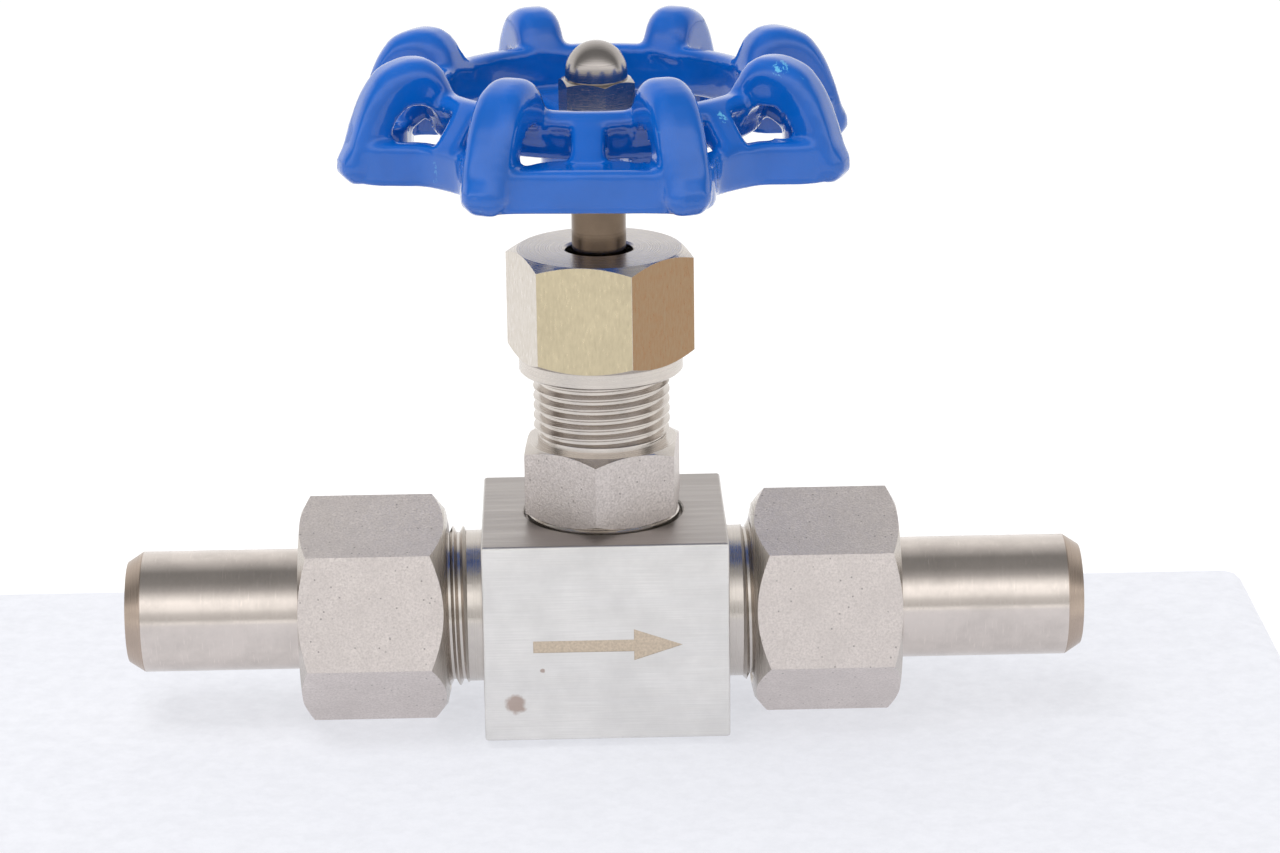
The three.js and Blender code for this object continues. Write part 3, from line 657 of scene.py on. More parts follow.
def polished_tube_steel():
    """Drawn and polished tube: near mirror, with faint marks and short bright scratches
    round it and a cloudy film."""
    finishes = settings("valve_finishes")
    material, tree, shader, place = new_material("polished_stainless")
    marks = tool_marks(tree, place, "X", 0.3 * MM, (0, 0, AXIS_HEIGHT))
    film = speckle(tree, place, 6 * MM, 0.4, 0.75, 4.0)
    fine = streaks(tree, place, (0.12 * MM, 3 * MM, 3 * MM), 0.62, 0.72)
    base = blend_colours(tree, film, solid(finishes.polished),
                         shaded(finishes.polished, 0.84))
    scratched = blend_colours(tree, fine, base, solid([min(1, c * 1.15) for c in
                                                       finishes.polished]))
    tree.links.new(scratched, shader.inputs["Base Color"])
    rough(tree, shader, maths(tree, "ADD", marks, film, True), 0.1, 0.2)
    raise_surface(tree, shader, [(marks, 0.08, 0.01 * MM), (fine, 0.15, 0.01 * MM)])
    return material


def weld_bevel_steel():
    """Machined weld bevel: coarse rings with a golden tint from cutting."""
    finishes = settings("valve_finishes")
    tint = [(a + b) / 2 for a, b in zip(finishes.brown, finishes.turned)]
    return turned_steel("machined_weld_bevel", tint, "X", (0, 0, AXIS_HEIGHT), 0.22, 0.4)


def enamel():
    """Stoved blue enamel on a casting: deep gloss with slight orange peel, and a few small
    scuffs that show a pale primer. Pale flecks on sharp edges are partly edge wear, partly
    painted highlight."""
    finishes = settings("valve_finishes")
    material, tree, shader, place = new_material(
        "stoved_blue_enamel", 0.0, Specular_IOR_Level=0.32, Coat_Weight=0.7,
        Coat_Roughness=0.03)
    peel = speckle(tree, place, 1.6 * MM, 0.3, 0.7, 2.0)
    clouds = speckle(tree, place, 9 * MM, 0.3, 0.7, 3.0)
    base = blend_colours(tree, clouds, solid(finishes.enamel),
                         shaded(finishes.enamel, 0.84))
    flecks = speckle(tree, place, 0.6 * MM, 0.5, 0.56, 3.0)
    # Pale flecks along the sharp edges: partly edge wear, partly painted highlight where the
    # edges catch the light.
    edges = add(tree, "ShaderNodeNewGeometry").outputs["Pointiness"]
    edge_wear_and_highlight = stretch(tree, edges, 0.6, 0.7)
    bare_and_edge_highlight = maths(tree, "MULTIPLY", edge_wear_and_highlight, 0.35)
    scuffs = [((-33.2, -14.2, 71.3), 0.8), ((-31.2, -14.8, 71.7), 0.7),
              ((17.3, -19.4, 78.4), 0.9), ((25.7, -14.9, 83.9), 1.3),
              ((28.2, -15.6, 82.4), 0.8), ((10.7, -35.2, 69.9), 0.7),
              ((-11.2, -33.6, 76.8), 0.6)]
    for (x, y, z), reach in scuffs:
        patch = spot(tree, place, (x * MM, y * MM, level(z)), reach * MM, 0.5 * MM)
        bare_and_edge_highlight = maths(tree, "MAXIMUM", patch, bare_and_edge_highlight)
    chips_and_edge_highlight = maths(tree, "MULTIPLY", bare_and_edge_highlight, flecks, True)
    painted = blend_colours(tree, chips_and_edge_highlight, base, solid(finishes.chip))
    tree.links.new(painted, shader.inputs["Base Color"])
    rough(tree, shader, peel, 0.12, 0.2)
    raise_surface(tree, shader, [(peel, 0.1, 0.05 * MM)])
    return material


def graphite():
    """Pressed graphite: near black, flaky, with a dull sheen."""
    finishes = settings("valve_finishes")
    material, tree, shader, place = new_material("pressed_graphite", 0.2)
    flakes = speckle(tree, place, 0.5 * MM, 0.3, 0.7, 3.0)
    base = blend_colours(tree, flakes, solid(finishes.graphite),
                         shaded(finishes.graphite, 1.8))
    tree.links.new(base, shader.inputs["Base Color"])
    rough(tree, shader, flakes, 0.45, 0.7)
    raise_surface(tree, shader, [(flakes, 0.4, 0.04 * MM)])
    return material


def pale_sheet(name, tint, shade, painted_glow, grain):
    """A pale sheet with a pebbled skin. Its glow is painted light that brightens the sheet
    evenly and fills in the shadows cast on it; the shade is the share of the colour that still
    catches light and shadow."""
    material, tree, shader, place = new_material(name, 0.0, Emission_Strength=painted_glow)
    cells = speckle(tree, place, grain, 0.35, 0.7, 3.0)
    base = blend_colours(tree, cells, shaded(tint, shade),
                         shaded(tint, shade * 0.92))
    # Colour of the painted glow.
    inner = blend_colours(tree, cells, solid(tint), shaded(tint, 0.97))
    tree.links.new(base, shader.inputs["Base Color"])
    tree.links.new(inner, shader.inputs["Emission Color"])
    rough(tree, shader, cells, 0.75, 0.9)
    raise_surface(tree, shader, [(cells, 0.3, 0.15 * MM)])
    return material


# --------------------------------------------------------------------- pieces


class VALVE_OT_block(bpy.types.Operator):
    """Block with its two threaded stubs, ports, seat, spot face and flow arrow"""

    bl_idname = "needle_valve.block"
    bl_label = "Valve block"

    def execute(self, context):
        sizes = context.scene.valve_sizes
        low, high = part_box("valve_body")
        half = sizes.block_width / 2
        block = box_piece("block", (-half, low.y, low.z), (half, high.y, high.z),
                          sizes.block_edge)
        for side in (-1, 1):
            combine(block, self.stub(sizes, half, high.x, side), "UNION")
        steel = [wire_brushed_steel(), etched_mark(),
                 turned_steel("turned_stub_steel", settings("valve_finishes").turned, "X",
                              (0, 0, AXIS_HEIGHT), 0.12, 0.3)]
        self.cut_passages(block, high)
        self.cut_arrow(block, low.y, sizes.mark_depth)
        smooth(block)
        mark_floor = low.y + sizes.mark_depth * 0.5
        mark_reach = 12 * MM
        mark_middle = level(-0.6)
        mark_rise = 2.6 * MM
        past_block = 0.02 * MM

        def finish(centre, _):
            if abs(centre.x) > half + past_block:
                return 2
            within = abs(centre.x) < mark_reach and abs(centre.z - mark_middle) < mark_rise
            if within and mark_floor < centre.y < low.y + 2 * sizes.mark_depth:
                return 1
            return 0

        paint_faces(block, steel, finish)
        finish_piece(block, "valve", "valve_body")
        return {"FINISHED"}

    def stub(self, sizes, half, end, side):
        """A threaded stub with its plain neck, from the middle of the block."""
        neck = 11.3 * MM
        crest = 11.9 * MM
        root = 11.0 * MM
        neck_end = half + 2.8 * MM
        chamfer = 1 * MM
        rod = thread_rod("stub", crest, root, sizes.union_pitch, half - 1 * MM, end)
        combine(rod, turned("stub_envelope", [
            (0, half - 2 * MM), (neck, half - 2 * MM), (neck, neck_end - 0.5 * MM),
            (crest + 0.1 * MM, neck_end + 0.3 * MM), (crest + 0.1 * MM, end - chamfer),
            (crest - chamfer, end), (0, end)]), "INTERSECT")
        collar = turned("stub_neck", [(0, half - 2 * MM), (neck, half - 2 * MM),
                                      (neck, neck_end - 0.3 * MM), (0, neck_end - 0.3 * MM)])
        combine(rod, collar, "UNION")
        return moved(rod, (0, side * math.pi / 2, 0), (0, 0, AXIS_HEIGHT))

    def cut_passages(self, block, high):
        """Ports, drillings, seat, chamber, bonnet socket and spot face."""
        port = 5 * MM
        port_end = 13 * MM
        for side in (-1, 1):
            bore = turned("port", [(0, port_end), (port, port_end), (port, high.x - 0.4 * MM),
                                   (port + 0.7 * MM, high.x + 0.3 * MM),
                                   (port + 0.7 * MM, high.x + 2 * MM), (0, high.x + 2 * MM)], 64)
            combine(block, moved(bore, (0, side * math.pi / 2, 0), (0, 0, AXIS_HEIGHT)),
                    "DIFFERENCE")
        seat = level(-3)
        room = turned("room", [
            (0, level(-10.5)), (2.5 * MM, level(-10.5)), (2.5 * MM, seat - 0.8 * MM),
            (3 * MM, seat), (5.5 * MM, seat), (5.5 * MM, level(5)), (9.2 * MM, level(5)),
            (9.2 * MM, level(13.5)), (11.8 * MM, level(13.5)), (11.8 * MM, high.z - 0.2 * MM),
            (12.1 * MM, high.z + 0.1 * MM), (12.1 * MM, high.z + 1 * MM), (0, high.z + 1 * MM)])
        combine(block, room, "DIFFERENCE")
        run = Vector((16 * MM, 0, -10.2 * MM))
        for radius, start, way in ((2.5 * MM, Vector((-15 * MM, 0, level(-0.9))), run),
                                   (3.5 * MM, Vector((0, 0, level(0.8))),
                                    Vector((14 * MM, 0, 0)))):
            drill = turned("drill", [(0, 0), (radius, 0), (radius, way.length),
                                     (0, way.length)], 48)
            tilt = Vector((0, 0, 1)).rotation_difference(way).to_euler()
            combine(block, moved(drill, tilt, start), "DIFFERENCE")

    def cut_arrow(self, block, face, depth):
        """A plain arrow that points with the flow, etched into the front face."""
        outline = [(-10.7, 0.2), (-10.7, -1.6), (4.0, -1.6), (4.0, -3.0), (11.1, -0.7),
                   (4.0, 1.8), (4.0, 0.2)]
        start = face - 1 * MM
        arrow = slab("arrow", [(x * MM, start, level(z)) for x, z in outline],
                     (0, 1 * MM + depth, 0))
        combine(block, arrow, "DIFFERENCE")


class VALVE_OT_bonnet(bpy.types.Operator):
    """Bonnet: shank, collar, hexagon, M20 thread and stuffing box"""

    bl_idname = "needle_valve.bonnet"
    bl_label = "Bonnet"

    def execute(self, context):
        sizes = context.scene.valve_sizes
        finishes = context.scene.valve_finishes
        low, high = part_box("bonnet")
        edge = sizes.edge
        hex_foot = level(15.1)
        hex_top = level(26)
        flat = sizes.bonnet_flats / 2
        corner = sizes.bonnet_flats / math.sqrt(3) + 0.2 * MM
        rise = (corner - flat) * math.tan(math.radians(30))
        bonnet = chamfered_hexagon("bonnet_body", sizes.bonnet_flats, sizes.bonnet_turn, [
            (0, hex_foot), (flat, hex_foot), (corner, hex_foot + rise),
            (corner, hex_top - rise), (flat, hex_top), (0, hex_top)], hex_foot, hex_top)
        crest = 10.05 * MM
        root = 9.15 * MM
        neck = 9.5 * MM
        thread_foot = level(27.2)
        rod = thread_rod("bonnet_thread", crest, root, sizes.gland_pitch, hex_top - 1 * MM,
                         high.z)
        combine(rod, turned("thread_envelope", [
            (0, hex_top - 2 * MM), (neck, hex_top - 2 * MM), (neck, thread_foot - 0.1 * MM),
            (crest + 0.1 * MM, thread_foot + 0.7 * MM), (crest + 0.1 * MM, high.z - 0.9 * MM),
            (root, high.z), (0, high.z)]), "INTERSECT")
        shank = 8.85 * MM
        collar = 11.3 * MM
        collar_foot = level(13.9)
        turned_part = turned("bonnet_shank", [
            (0, low.z), (shank - 0.5 * MM, low.z), (shank, low.z + 0.5 * MM),
            (shank, collar_foot), (collar - edge, collar_foot), (collar, collar_foot + edge),
            (collar, hex_foot - edge), (collar - edge, hex_foot), (neck, hex_foot),
            (neck, thread_foot - 0.4 * MM), (0, thread_foot - 0.4 * MM)])
        combine(bonnet, turned_part, "UNION")
        combine(bonnet, rod, "UNION")
        combine(bonnet, turned("stuffing_box", [
            (0, low.z - 1 * MM), (5.3 * MM, low.z - 1 * MM), (5.3 * MM, level(24)),
            (4.3 * MM, level(24)), (4.3 * MM, level(27.5)), (7 * MM, level(27.5)),
            (7 * MM, high.z - 0.3 * MM), (7.4 * MM, high.z + 0.1 * MM),
            (7.4 * MM, high.z + 1 * MM), (0, high.z + 1 * MM)]), "DIFFERENCE")
        smooth(bonnet)
        flats = hexagon_flat(sizes.bonnet_flats, sizes.bonnet_turn, "Z")
        paint_faces(bonnet, [
            turned_steel("turned_bonnet_steel", finishes.turned, "Z", (0, 0, 0), 0.14, 0.3),
            blasted_steel("blasted_bonnet_steel", finishes.blasted, 0.72)],
            lambda centre, normal: 1 if flats(centre, normal) else 0)
        finish_piece(bonnet, "valve", "bonnet")
        return {"FINISHED"}


class VALVE_OT_packing_nut(bpy.types.Operator):
    """Packing nut: hexagon with a round collar below and a turned top"""

    bl_idname = "needle_valve.packing_nut"
    bl_label = "Packing nut"

    def execute(self, context):
        sizes = context.scene.valve_sizes
        finishes = context.scene.valve_finishes
        low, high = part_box("packing_nut")
        edge = sizes.edge
        collar = 12.05 * MM
        hex_foot = level(38.9)
        corner = sizes.packing_flats / math.sqrt(3) + 0.2 * MM
        rise = (corner - sizes.packing_flats / 2) * math.tan(math.radians(30))
        nut = chamfered_hexagon("packing_nut_body", sizes.packing_flats, sizes.packing_turn, [
            (0, hex_foot), (collar, hex_foot), (corner, hex_foot + rise),
            (corner, high.z - rise), (collar, high.z), (0, high.z)], hex_foot, high.z)
        combine(nut, turned("collar", [
            (0, low.z), (collar - edge, low.z), (collar, low.z + edge),
            (collar, hex_foot + 0.6 * MM), (0, hex_foot + 0.6 * MM)]), "UNION")
        bore = 10.35 * MM
        room = level(50.1)
        hole = 5 * MM
        combine(nut, turned("nut_bore", [
            (0, low.z - 1 * MM), (bore + 0.5 * MM, low.z - 1 * MM), (bore + 0.5 * MM, low.z),
            (bore, low.z + 0.5 * MM), (bore, room), (hole, room), (hole, high.z - 0.3 * MM),
            (hole + 0.4 * MM, high.z + 0.1 * MM), (hole + 0.4 * MM, high.z + 1 * MM),
            (0, high.z + 1 * MM)]), "DIFFERENCE")
        combine(nut, thread_rod("nut_thread", bore + 0.6 * MM, bore - 0.05 * MM,
                                sizes.gland_pitch, low.z - 0.4 * MM, room - 2 * MM),
                "DIFFERENCE")
        smooth(nut)
        flats = hexagon_flat(sizes.packing_flats, sizes.packing_turn, "Z")
        paint_faces(nut, [
            turned_steel("turned_nut_steel", finishes.turned, "Z", (0, 0, 0), 0.2, 0.38),
            heat_tint_and_reflection_nut_steel()], lambda centre, normal: 1 if flats(centre, normal) else 0)
        finish_piece(nut, "gland_nut", "packing_nut")
        return {"FINISHED"}


class VALVE_OT_stem(bpy.types.Operator):
    """Stem: ground shank, M10 thread, square for the wheel and stud for the domed nut"""

    bl_idname = "needle_valve.stem"
    bl_label = "Stem"

    def execute(self, context):
        sizes = context.scene.valve_sizes
        wheel = context.scene.wheel_sizes
        finishes = context.scene.valve_finishes
        low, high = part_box("stem")
        shank = 3.98 * MM
        shoulder = level(63.2)
        thread_foot = level(6.6)
        thread_top = level(21)
        crest = 4.95 * MM
        button_top = level(4.2)
        stem = turned("stem_spindle", [
            (0, low.z), (1.9 * MM, low.z), (2.2 * MM, low.z + 0.3 * MM), (2.2 * MM, button_top),
            (1.4 * MM, button_top), (1.4 * MM, thread_foot), (shank, thread_foot),
            (shank, shoulder - 0.3 * MM), (shank - 0.3 * MM, shoulder), (2.7 * MM, shoulder),
            (2.7 * MM, high.z - 0.6 * MM), (2.1 * MM, high.z), (0, high.z)], 96)
        rod = thread_rod("stem_thread", crest, 4.3 * MM, sizes.stem_pitch,
                         thread_foot + 0.1 * MM, thread_top)
        combine(stem, rod, "UNION")
        half = 3 * MM
        square = box_piece("square", (-half, -half, shoulder - 1 * MM),
                           (half, half, level(73)), 0.25 * MM)
        combine(stem, moved(square, (0, 0, wheel.first_lobe)), "UNION")
        smooth(stem)
        # Dark brown base and film: partly the stem's brown film, partly painted shade under the
        # handwheel.
        paint_faces(stem, [turned_steel("ground_stem_steel", finishes.stem, "Z", (0, 0, 0),
                                        0.12, 0.26, 0.62)], lambda centre, normal: 0)
        finish_piece(stem, "spindle", "stem")
        return {"FINISHED"}


def flowing(points, steps, closed=False):
    """A smooth curve through a few points, as Catmull and Rom drew it."""
    count = len(points)
    made = []
    for i in range(count if closed else count - 1):
        if closed:
            near = [points[(i + k - 1) % count] for k in range(4)]
        else:
            near = [points[min(max(i + k - 1, 0), count - 1)] for k in range(4)]
        a, b, c, d = (Vector(p) for p in near)
        for step in range(steps):
            t = step / steps
            made.append(tuple(0.5 * (2 * b + (c - a) * t + (2 * a - 5 * b + 4 * c - d) * t ** 2
                                     + (3 * b - a - 3 * c + d) * t ** 3)))
    if not closed:
        made.append(tuple(points[-1]))
    return made


class VALVE_OT_handwheel(bpy.types.Operator):
    """Cast handwheel: hub, spokes, ring, webs, lobed rim and eight arches"""

    bl_idname = "needle_valve.handwheel"
    bl_label = "Handwheel"

    def execute(self, context):
        wheel = context.scene.wheel_sizes
        low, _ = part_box("handwheel")
        rim_foot = level(68.2)
        step = FULL_TURN / wheel.lobes
        parts = [self.hub(wheel, low.z), self.ring(), self.rim(wheel, rim_foot)]
        arch = self.arch(wheel)
        bridge = self.bridge(wheel)
        spoke = box_piece("spoke", (6 * MM, -wheel.spoke_width / 2, level(71.2)),
                          (22.8 * MM, wheel.spoke_width / 2, level(73.9)), 0.7 * MM)
        for number in range(wheel.lobes):
            angle = wheel.first_lobe + number * step
            parts.append(moved(copy_of(arch, "arch"), (0, 0, angle)))
            parts.append(moved(copy_of(bridge, "web"), (0, 0, angle + step / 2)))
            if number % 2 == 0:
                parts.append(moved(copy_of(spoke, "spoke"), (0, 0, angle)))
        for pattern in (arch, bridge, spoke):
            bpy.data.objects.remove(pattern)
        clear_selection()
        for part in parts:
            part.select_set(True)
        cast = parts[0]
        bpy.context.view_layer.objects.active = cast
        bpy.ops.object.join()
        cast.name = "handwheel_casting"
        apply_modifier(cast, "REMESH", mode="VOXEL", voxel_size=wheel.cast_grain)
        apply_modifier(cast, "SMOOTH", factor=0.5, iterations=7)
        make_active(cast)
        bpy.ops.object.shade_smooth()
        paint_faces(cast, [enamel()], lambda centre, normal: 0)
        finish_piece(cast, "spindle", "handwheel")
        return {"FINISHED"}

    def hub(self, wheel, foot):
        radius = wheel.hub_radius
        top = level(73.9)
        half = wheel.square_half
        hub = turned("hub", [(0, foot), (radius - 0.8 * MM, foot), (radius, foot + 0.8 * MM),
                             (radius, top - 0.8 * MM), (radius - 0.8 * MM, top), (0, top)], 96)
        hole = box_piece("square_hole", (-half, -half, foot - 1 * MM), (half, half, top + MM))
        return combine(hub, moved(hole, (0, 0, wheel.first_lobe)), "DIFFERENCE")

    def ring(self):
        bore = 21.8 * MM
        outer = 24 * MM
        lip = 25.3 * MM
        bottom, top = level(73.4), level(80.3)
        soft = 0.6 * MM
        return turned("wheel_ring", [
            (bore, bottom + soft), (bore + soft, bottom), (outer - soft, bottom),
            (outer, bottom + soft), (outer, level(77.2)), (lip, level(78.4)),
            (lip, level(79.2)), (outer + 0.3 * MM, top), (bore + soft, top),
            (bore, top - soft), (bore, bottom + soft)])

    def rim(self, wheel, foot):
        """The lobed rim, hollow inside, with a deep gap after a lobe and a shallow one
        before it, and every second lobe mirrored."""
        height = level(74.3) - foot
        lobe = [(-4.6, 35.0), (-2, 36.6), (2.2, 36.6), (4.6, 34.6), (6.2, 31.4), (8, 28.6)]
        pocket = [(-5.4, 27), (-3, 31), (3, 31), (5.4, 27)]
        plan = self.round_plan(wheel, lobe, foot)
        rim = slab("rim", plan, (0, 0, height))
        inside = slab("rim_inside", self.round_plan(wheel, pocket, foot - 1 * MM),
                      (0, 0, height + 2 * MM))
        combine(rim, inside, "DIFFERENCE")
        corners = [Vector((x, y)) for x, y, _ in plan]

        def on_plan(point):
            here = Vector((point.x, point.y))
            return any((here - corner).length < 0.01 * MM for corner in corners)

        def outer_edge(a, b):
            return abs(a.z - b.z) < SAME_POINT and on_plan(a) and on_plan(b)

        round_edges(rim, outer_edge, 0.8 * MM, 3)
        return rim

    def round_plan(self, wheel, lobe, height):
        """One lobe's plan of (sideways, outwards) in millimetres, repeated round."""
        mirrored = [(-side, out) for side, out in reversed(lobe)]
        plan = []
        for number in range(wheel.lobes):
            angle = wheel.first_lobe + number * FULL_TURN / wheel.lobes
            for side, out in mirrored if number % 2 else lobe:
                plan.append((out * math.cos(angle) - side * math.sin(angle),
                             out * math.sin(angle) + side * math.cos(angle), 0))
        return [(x * MM, y * MM, height) for x, y, _ in flowing(plan, 3, True)]

    def arch(self, wheel):
        """One arch, from the rim over to the ring, round outside and flat at its sides."""
        outer = [(36.2, 68.7), (37.6, 69.3), (38.1, 71), (37.4, 74), (36.2, 77.6), (34.6, 81),
                 (32.4, 83.6), (30, 84.8), (27.4, 85.2), (25, 84.5), (23.3, 82.8), (21.8, 80)]
        inner = [(24.4, 76), (24.9, 77.4), (26.1, 78.6), (27.9, 79.1), (29.7, 78.6),
                 (31, 77.2), (31.8, 75), (31.8, 68.7)]
        half = wheel.arch_width / 2
        side = ([(r, -half / MM, z) for r, z in flowing(outer, 3)] + [(21.8, -half / MM, 76)]
                + [(r, -half / MM, z) for r, z in flowing(inner, 3)])
        plate = slab("arch", [(x * MM, y * MM, level(z)) for x, y, z in side],
                     (0, 2 * half, 0))
        centre = Vector((28.2 * MM, level(75)))
        clear = 6.2 * MM
        foot = level(68.5)

        def outside(a, b):
            mid = (a + b) / 2
            flat = Vector((mid.x, mid.z))
            same_side = abs(a.y - b.y) < SAME_POINT
            return (same_side and (flat - centre).length > clear and mid.z > foot
                    and mid.x > 22 * MM)

        round_edges(plate, outside, wheel.arch_round, 5)
        return plate

    def bridge(self, wheel):
        """The sloping web between the ring and the rim, half way between two arches."""
        half = wheel.bridge_width / 2
        side = [(22.8, 76), (28.6, 71.4), (29.2, 74.3), (24.8, 79.6), (22.8, 79.6)]
        web = slab("web", [(r * MM, -half, level(z)) for r, z in side], (0, 2 * half, 0))
        round_edges(web, lambda a, b: abs(a.y - b.y) < SAME_POINT, 0.8 * MM, 3)
        return web


class VALVE_OT_dome_nut(bpy.types.Operator):
    """Domed nut that holds the handwheel"""

    bl_idname = "needle_valve.dome_nut"
    bl_label = "Domed nut"

    def execute(self, context):
        sizes = context.scene.valve_sizes
        finishes = context.scene.valve_finishes
        low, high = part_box("dome_nut")
        flat = sizes.dome_flats / 2
        corner = sizes.dome_flats / math.sqrt(3) + 0.2 * MM
        rise = (corner - flat) * math.tan(math.radians(30))
        hex_top = level(80)
        nut = bar("dome_nut_body", sizes.dome_flats, sizes.dome_turn, low.z, hex_top)
        combine(nut, turned("dome_nut_envelope", [
            (0, low.z), (flat, low.z), (corner, low.z + rise), (corner, hex_top - rise),
            (flat, hex_top), (0, hex_top)], 96), "INTERSECT")
        radius = 4.5 * MM
        spring = high.z - radius
        steps = 14
        dome = [(0, hex_top - 0.3 * MM), (radius, hex_top - 0.3 * MM)]
        for i in range(steps):
            angle = math.pi / 2 * i / steps
            dome.append((radius * math.cos(angle), spring + radius * math.sin(angle)))
        dome.append((0, high.z))
        combine(nut, turned("dome", dome, 96), "UNION")
        bore = 3.2 * MM
        combine(nut, turned("stud_hole", [(0, low.z - MM), (bore, low.z - MM),
                                          (bore, level(81)), (0, level(81))], 48),
                "DIFFERENCE")
        smooth(nut)
        paint_faces(nut, [turned_steel("polished_dome_steel", finishes.top, "Z",
                                       (0, 0, 0), 0.14, 0.28)], lambda centre, normal: 0)
        finish_piece(nut, "spindle", "dome_nut")
        return {"FINISHED"}


class VALVE_OT_union_nuts(bpy.types.Operator):
    """The two union nuts, with their long cones towards the block"""

    bl_idname = "needle_valve.union_nuts"
    bl_label = "Union nuts"

    def execute(self, context):
        sizes = context.scene.valve_sizes
        finishes = context.scene.valve_finishes
        blasted = blasted_steel("blasted_union_steel", finishes.blasted, 0.8)
        machined = turned_steel("turned_union_steel", finishes.turned, "X",
                                (0, 0, AXIS_HEIGHT), 0.18, 0.34)
        for name, side, stands, body in (
                ("union_nut_left", -1, sizes.union_turn_left, "inlet_nut"),
                ("union_nut_right", 1, sizes.union_turn_right, "outlet_nut")):
            low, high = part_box(name)
            start = min(abs(low.x), abs(high.x))
            nut = self.nut(sizes, stands, high.x - low.x)
            moved(nut, (0, side * math.pi / 2, 0), (side * start, 0, AXIS_HEIGHT))
            nut.name = name + "_hexagon"
            smooth(nut)
            tilt = Matrix.Rotation(side * math.pi / 2, 3, "Y")
            corner = tilt @ Vector((math.cos(stands), math.sin(stands), 0))
            flats = hexagon_flat(sizes.union_flats, math.atan2(corner.z, corner.y), "X")
            paint_faces(nut, [machined, blasted],
                        lambda centre, normal, test=flats: 1 if test(centre, normal) else 0)
            finish_piece(nut, body, name)
        return {"FINISHED"}

    def nut(self, sizes, stands, length):
        """A nut lying from its block end at zero to its outer end."""
        face = 12.8 * MM
        lip = 0.4 * MM
        flat = sizes.union_flats / 2
        corner = sizes.union_flats / math.sqrt(3) + 0.2 * MM
        front = lip + (corner - flat) * math.tan(math.radians(40))
        rise = (corner - flat) * math.tan(math.radians(30))
        nut = chamfered_hexagon("union_nut", sizes.union_flats, stands, [
            (0, 0), (face, 0), (flat, lip), (corner, front), (corner, length - rise),
            (flat, length), (0, length)], 0, length)
        bore = 12.25 * MM
        wall = length - 4 * MM
        hole = 9.3 * MM
        combine(nut, turned("nut_bore", [
            (0, -1 * MM), (bore + 0.3 * MM, -1 * MM), (bore + 0.3 * MM, 0),
            (bore, 0.4 * MM), (bore, wall), (hole, wall), (hole, length - 0.3 * MM),
            (hole + 0.4 * MM, length + 0.1 * MM), (hole + 0.4 * MM, length + 1 * MM),
            (0, length + 1 * MM)]), "DIFFERENCE")
        combine(nut, thread_rod("nut_thread", bore + 0.55 * MM, bore - 0.05 * MM,
                                sizes.union_pitch, 0.9 * MM, wall - 2 * MM), "DIFFERENCE")
        return nut


class VALVE_OT_nipples(bpy.types.Operator):
    """The two polished weld nipples"""

    bl_idname = "needle_valve.nipples"
    bl_label = "Weld nipples"

    def execute(self, context):
        polished = polished_tube_steel()
        bevelled = weld_bevel_steel()
        for name, side, body in (("weld_nipple_left", -1, "inlet_tail"),
                                 ("weld_nipple_right", 1, "outlet_tail")):
            low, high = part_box(name)
            start = min(abs(low.x), abs(high.x))
            end = max(abs(low.x), abs(high.x))
            nipple = moved(self.tube(start, end), (0, side * math.pi / 2, 0),
                           (0, 0, AXIS_HEIGHT))
            nipple.name = name + "_tube"
            smooth(nipple)
            bevel_start = end - 2.35 * MM
            paint_faces(nipple, [polished, bevelled],
                        lambda centre, normal, mark=bevel_start: 1
                        if abs(centre.x) > mark and abs(normal.x) > 0.2 else 0)
            finish_piece(nipple, body, name)
        return {"FINISHED"}

    def tube(self, start, end):
        bore = 5 * MM
        collar = 11.1 * MM
        collar_end = start + 3.6 * MM
        outer = 9 * MM
        bevel = 2.3 * MM
        depth = 1.5 * MM
        edge = 0.25 * MM
        return turned("nipple", [
            (bore, start + edge), (bore + edge, start), (collar - edge, start),
            (collar, start + edge), (collar, collar_end - edge), (collar - edge, collar_end),
            (outer + 0.4 * MM, collar_end), (outer, collar_end + 0.4 * MM),
            (outer, (start + end) / 2), (outer, end - bevel - 0.1 * MM),
            (outer - 0.07 * MM, end - bevel + 0.1 * MM), (outer - depth, end),
            (bore + edge, end), (bore, end - edge), (bore, (start + end) / 2),
            (bore, start + edge)])


class VALVE_OT_inner_parts(bpy.types.Operator):
    """Finishes of the needle, gasket, packing, gland and union seals"""

    bl_idname = "needle_valve.inner_parts"
    bl_label = "Inner parts"

    def execute(self, context):
        finishes = context.scene.valve_finishes
        about_stem = (0, 0, 0)
        about_flow = (0, 0, AXIS_HEIGHT)
        hard = turned_steel("ground_needle_steel", finishes.turned, "Z", about_stem, 0.1, 0.2)
        ring = turned_steel("turned_gland_steel", finishes.turned, "Z", about_stem)
        soft = turned_steel("annealed_gasket_metal", finishes.blasted, "Z", about_stem,
                            0.4, 0.6)
        seal = turned_steel("annealed_seal_metal", finishes.blasted, "X", about_flow,
                            0.4, 0.6)
        packing = graphite()
        chosen = {"needle_tip": hard, "bonnet_gasket": soft, "packing_washer": ring,
                  "gland_follower": ring, "union_seal_left": seal, "union_seal_right": seal}
        for number in range(1, 5):
            chosen[f"packing_ring_{number}"] = packing
        for name, material in chosen.items():
            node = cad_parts[name]
            for slot in node.material_slots:
                slot.material = material
        return {"FINISHED"}


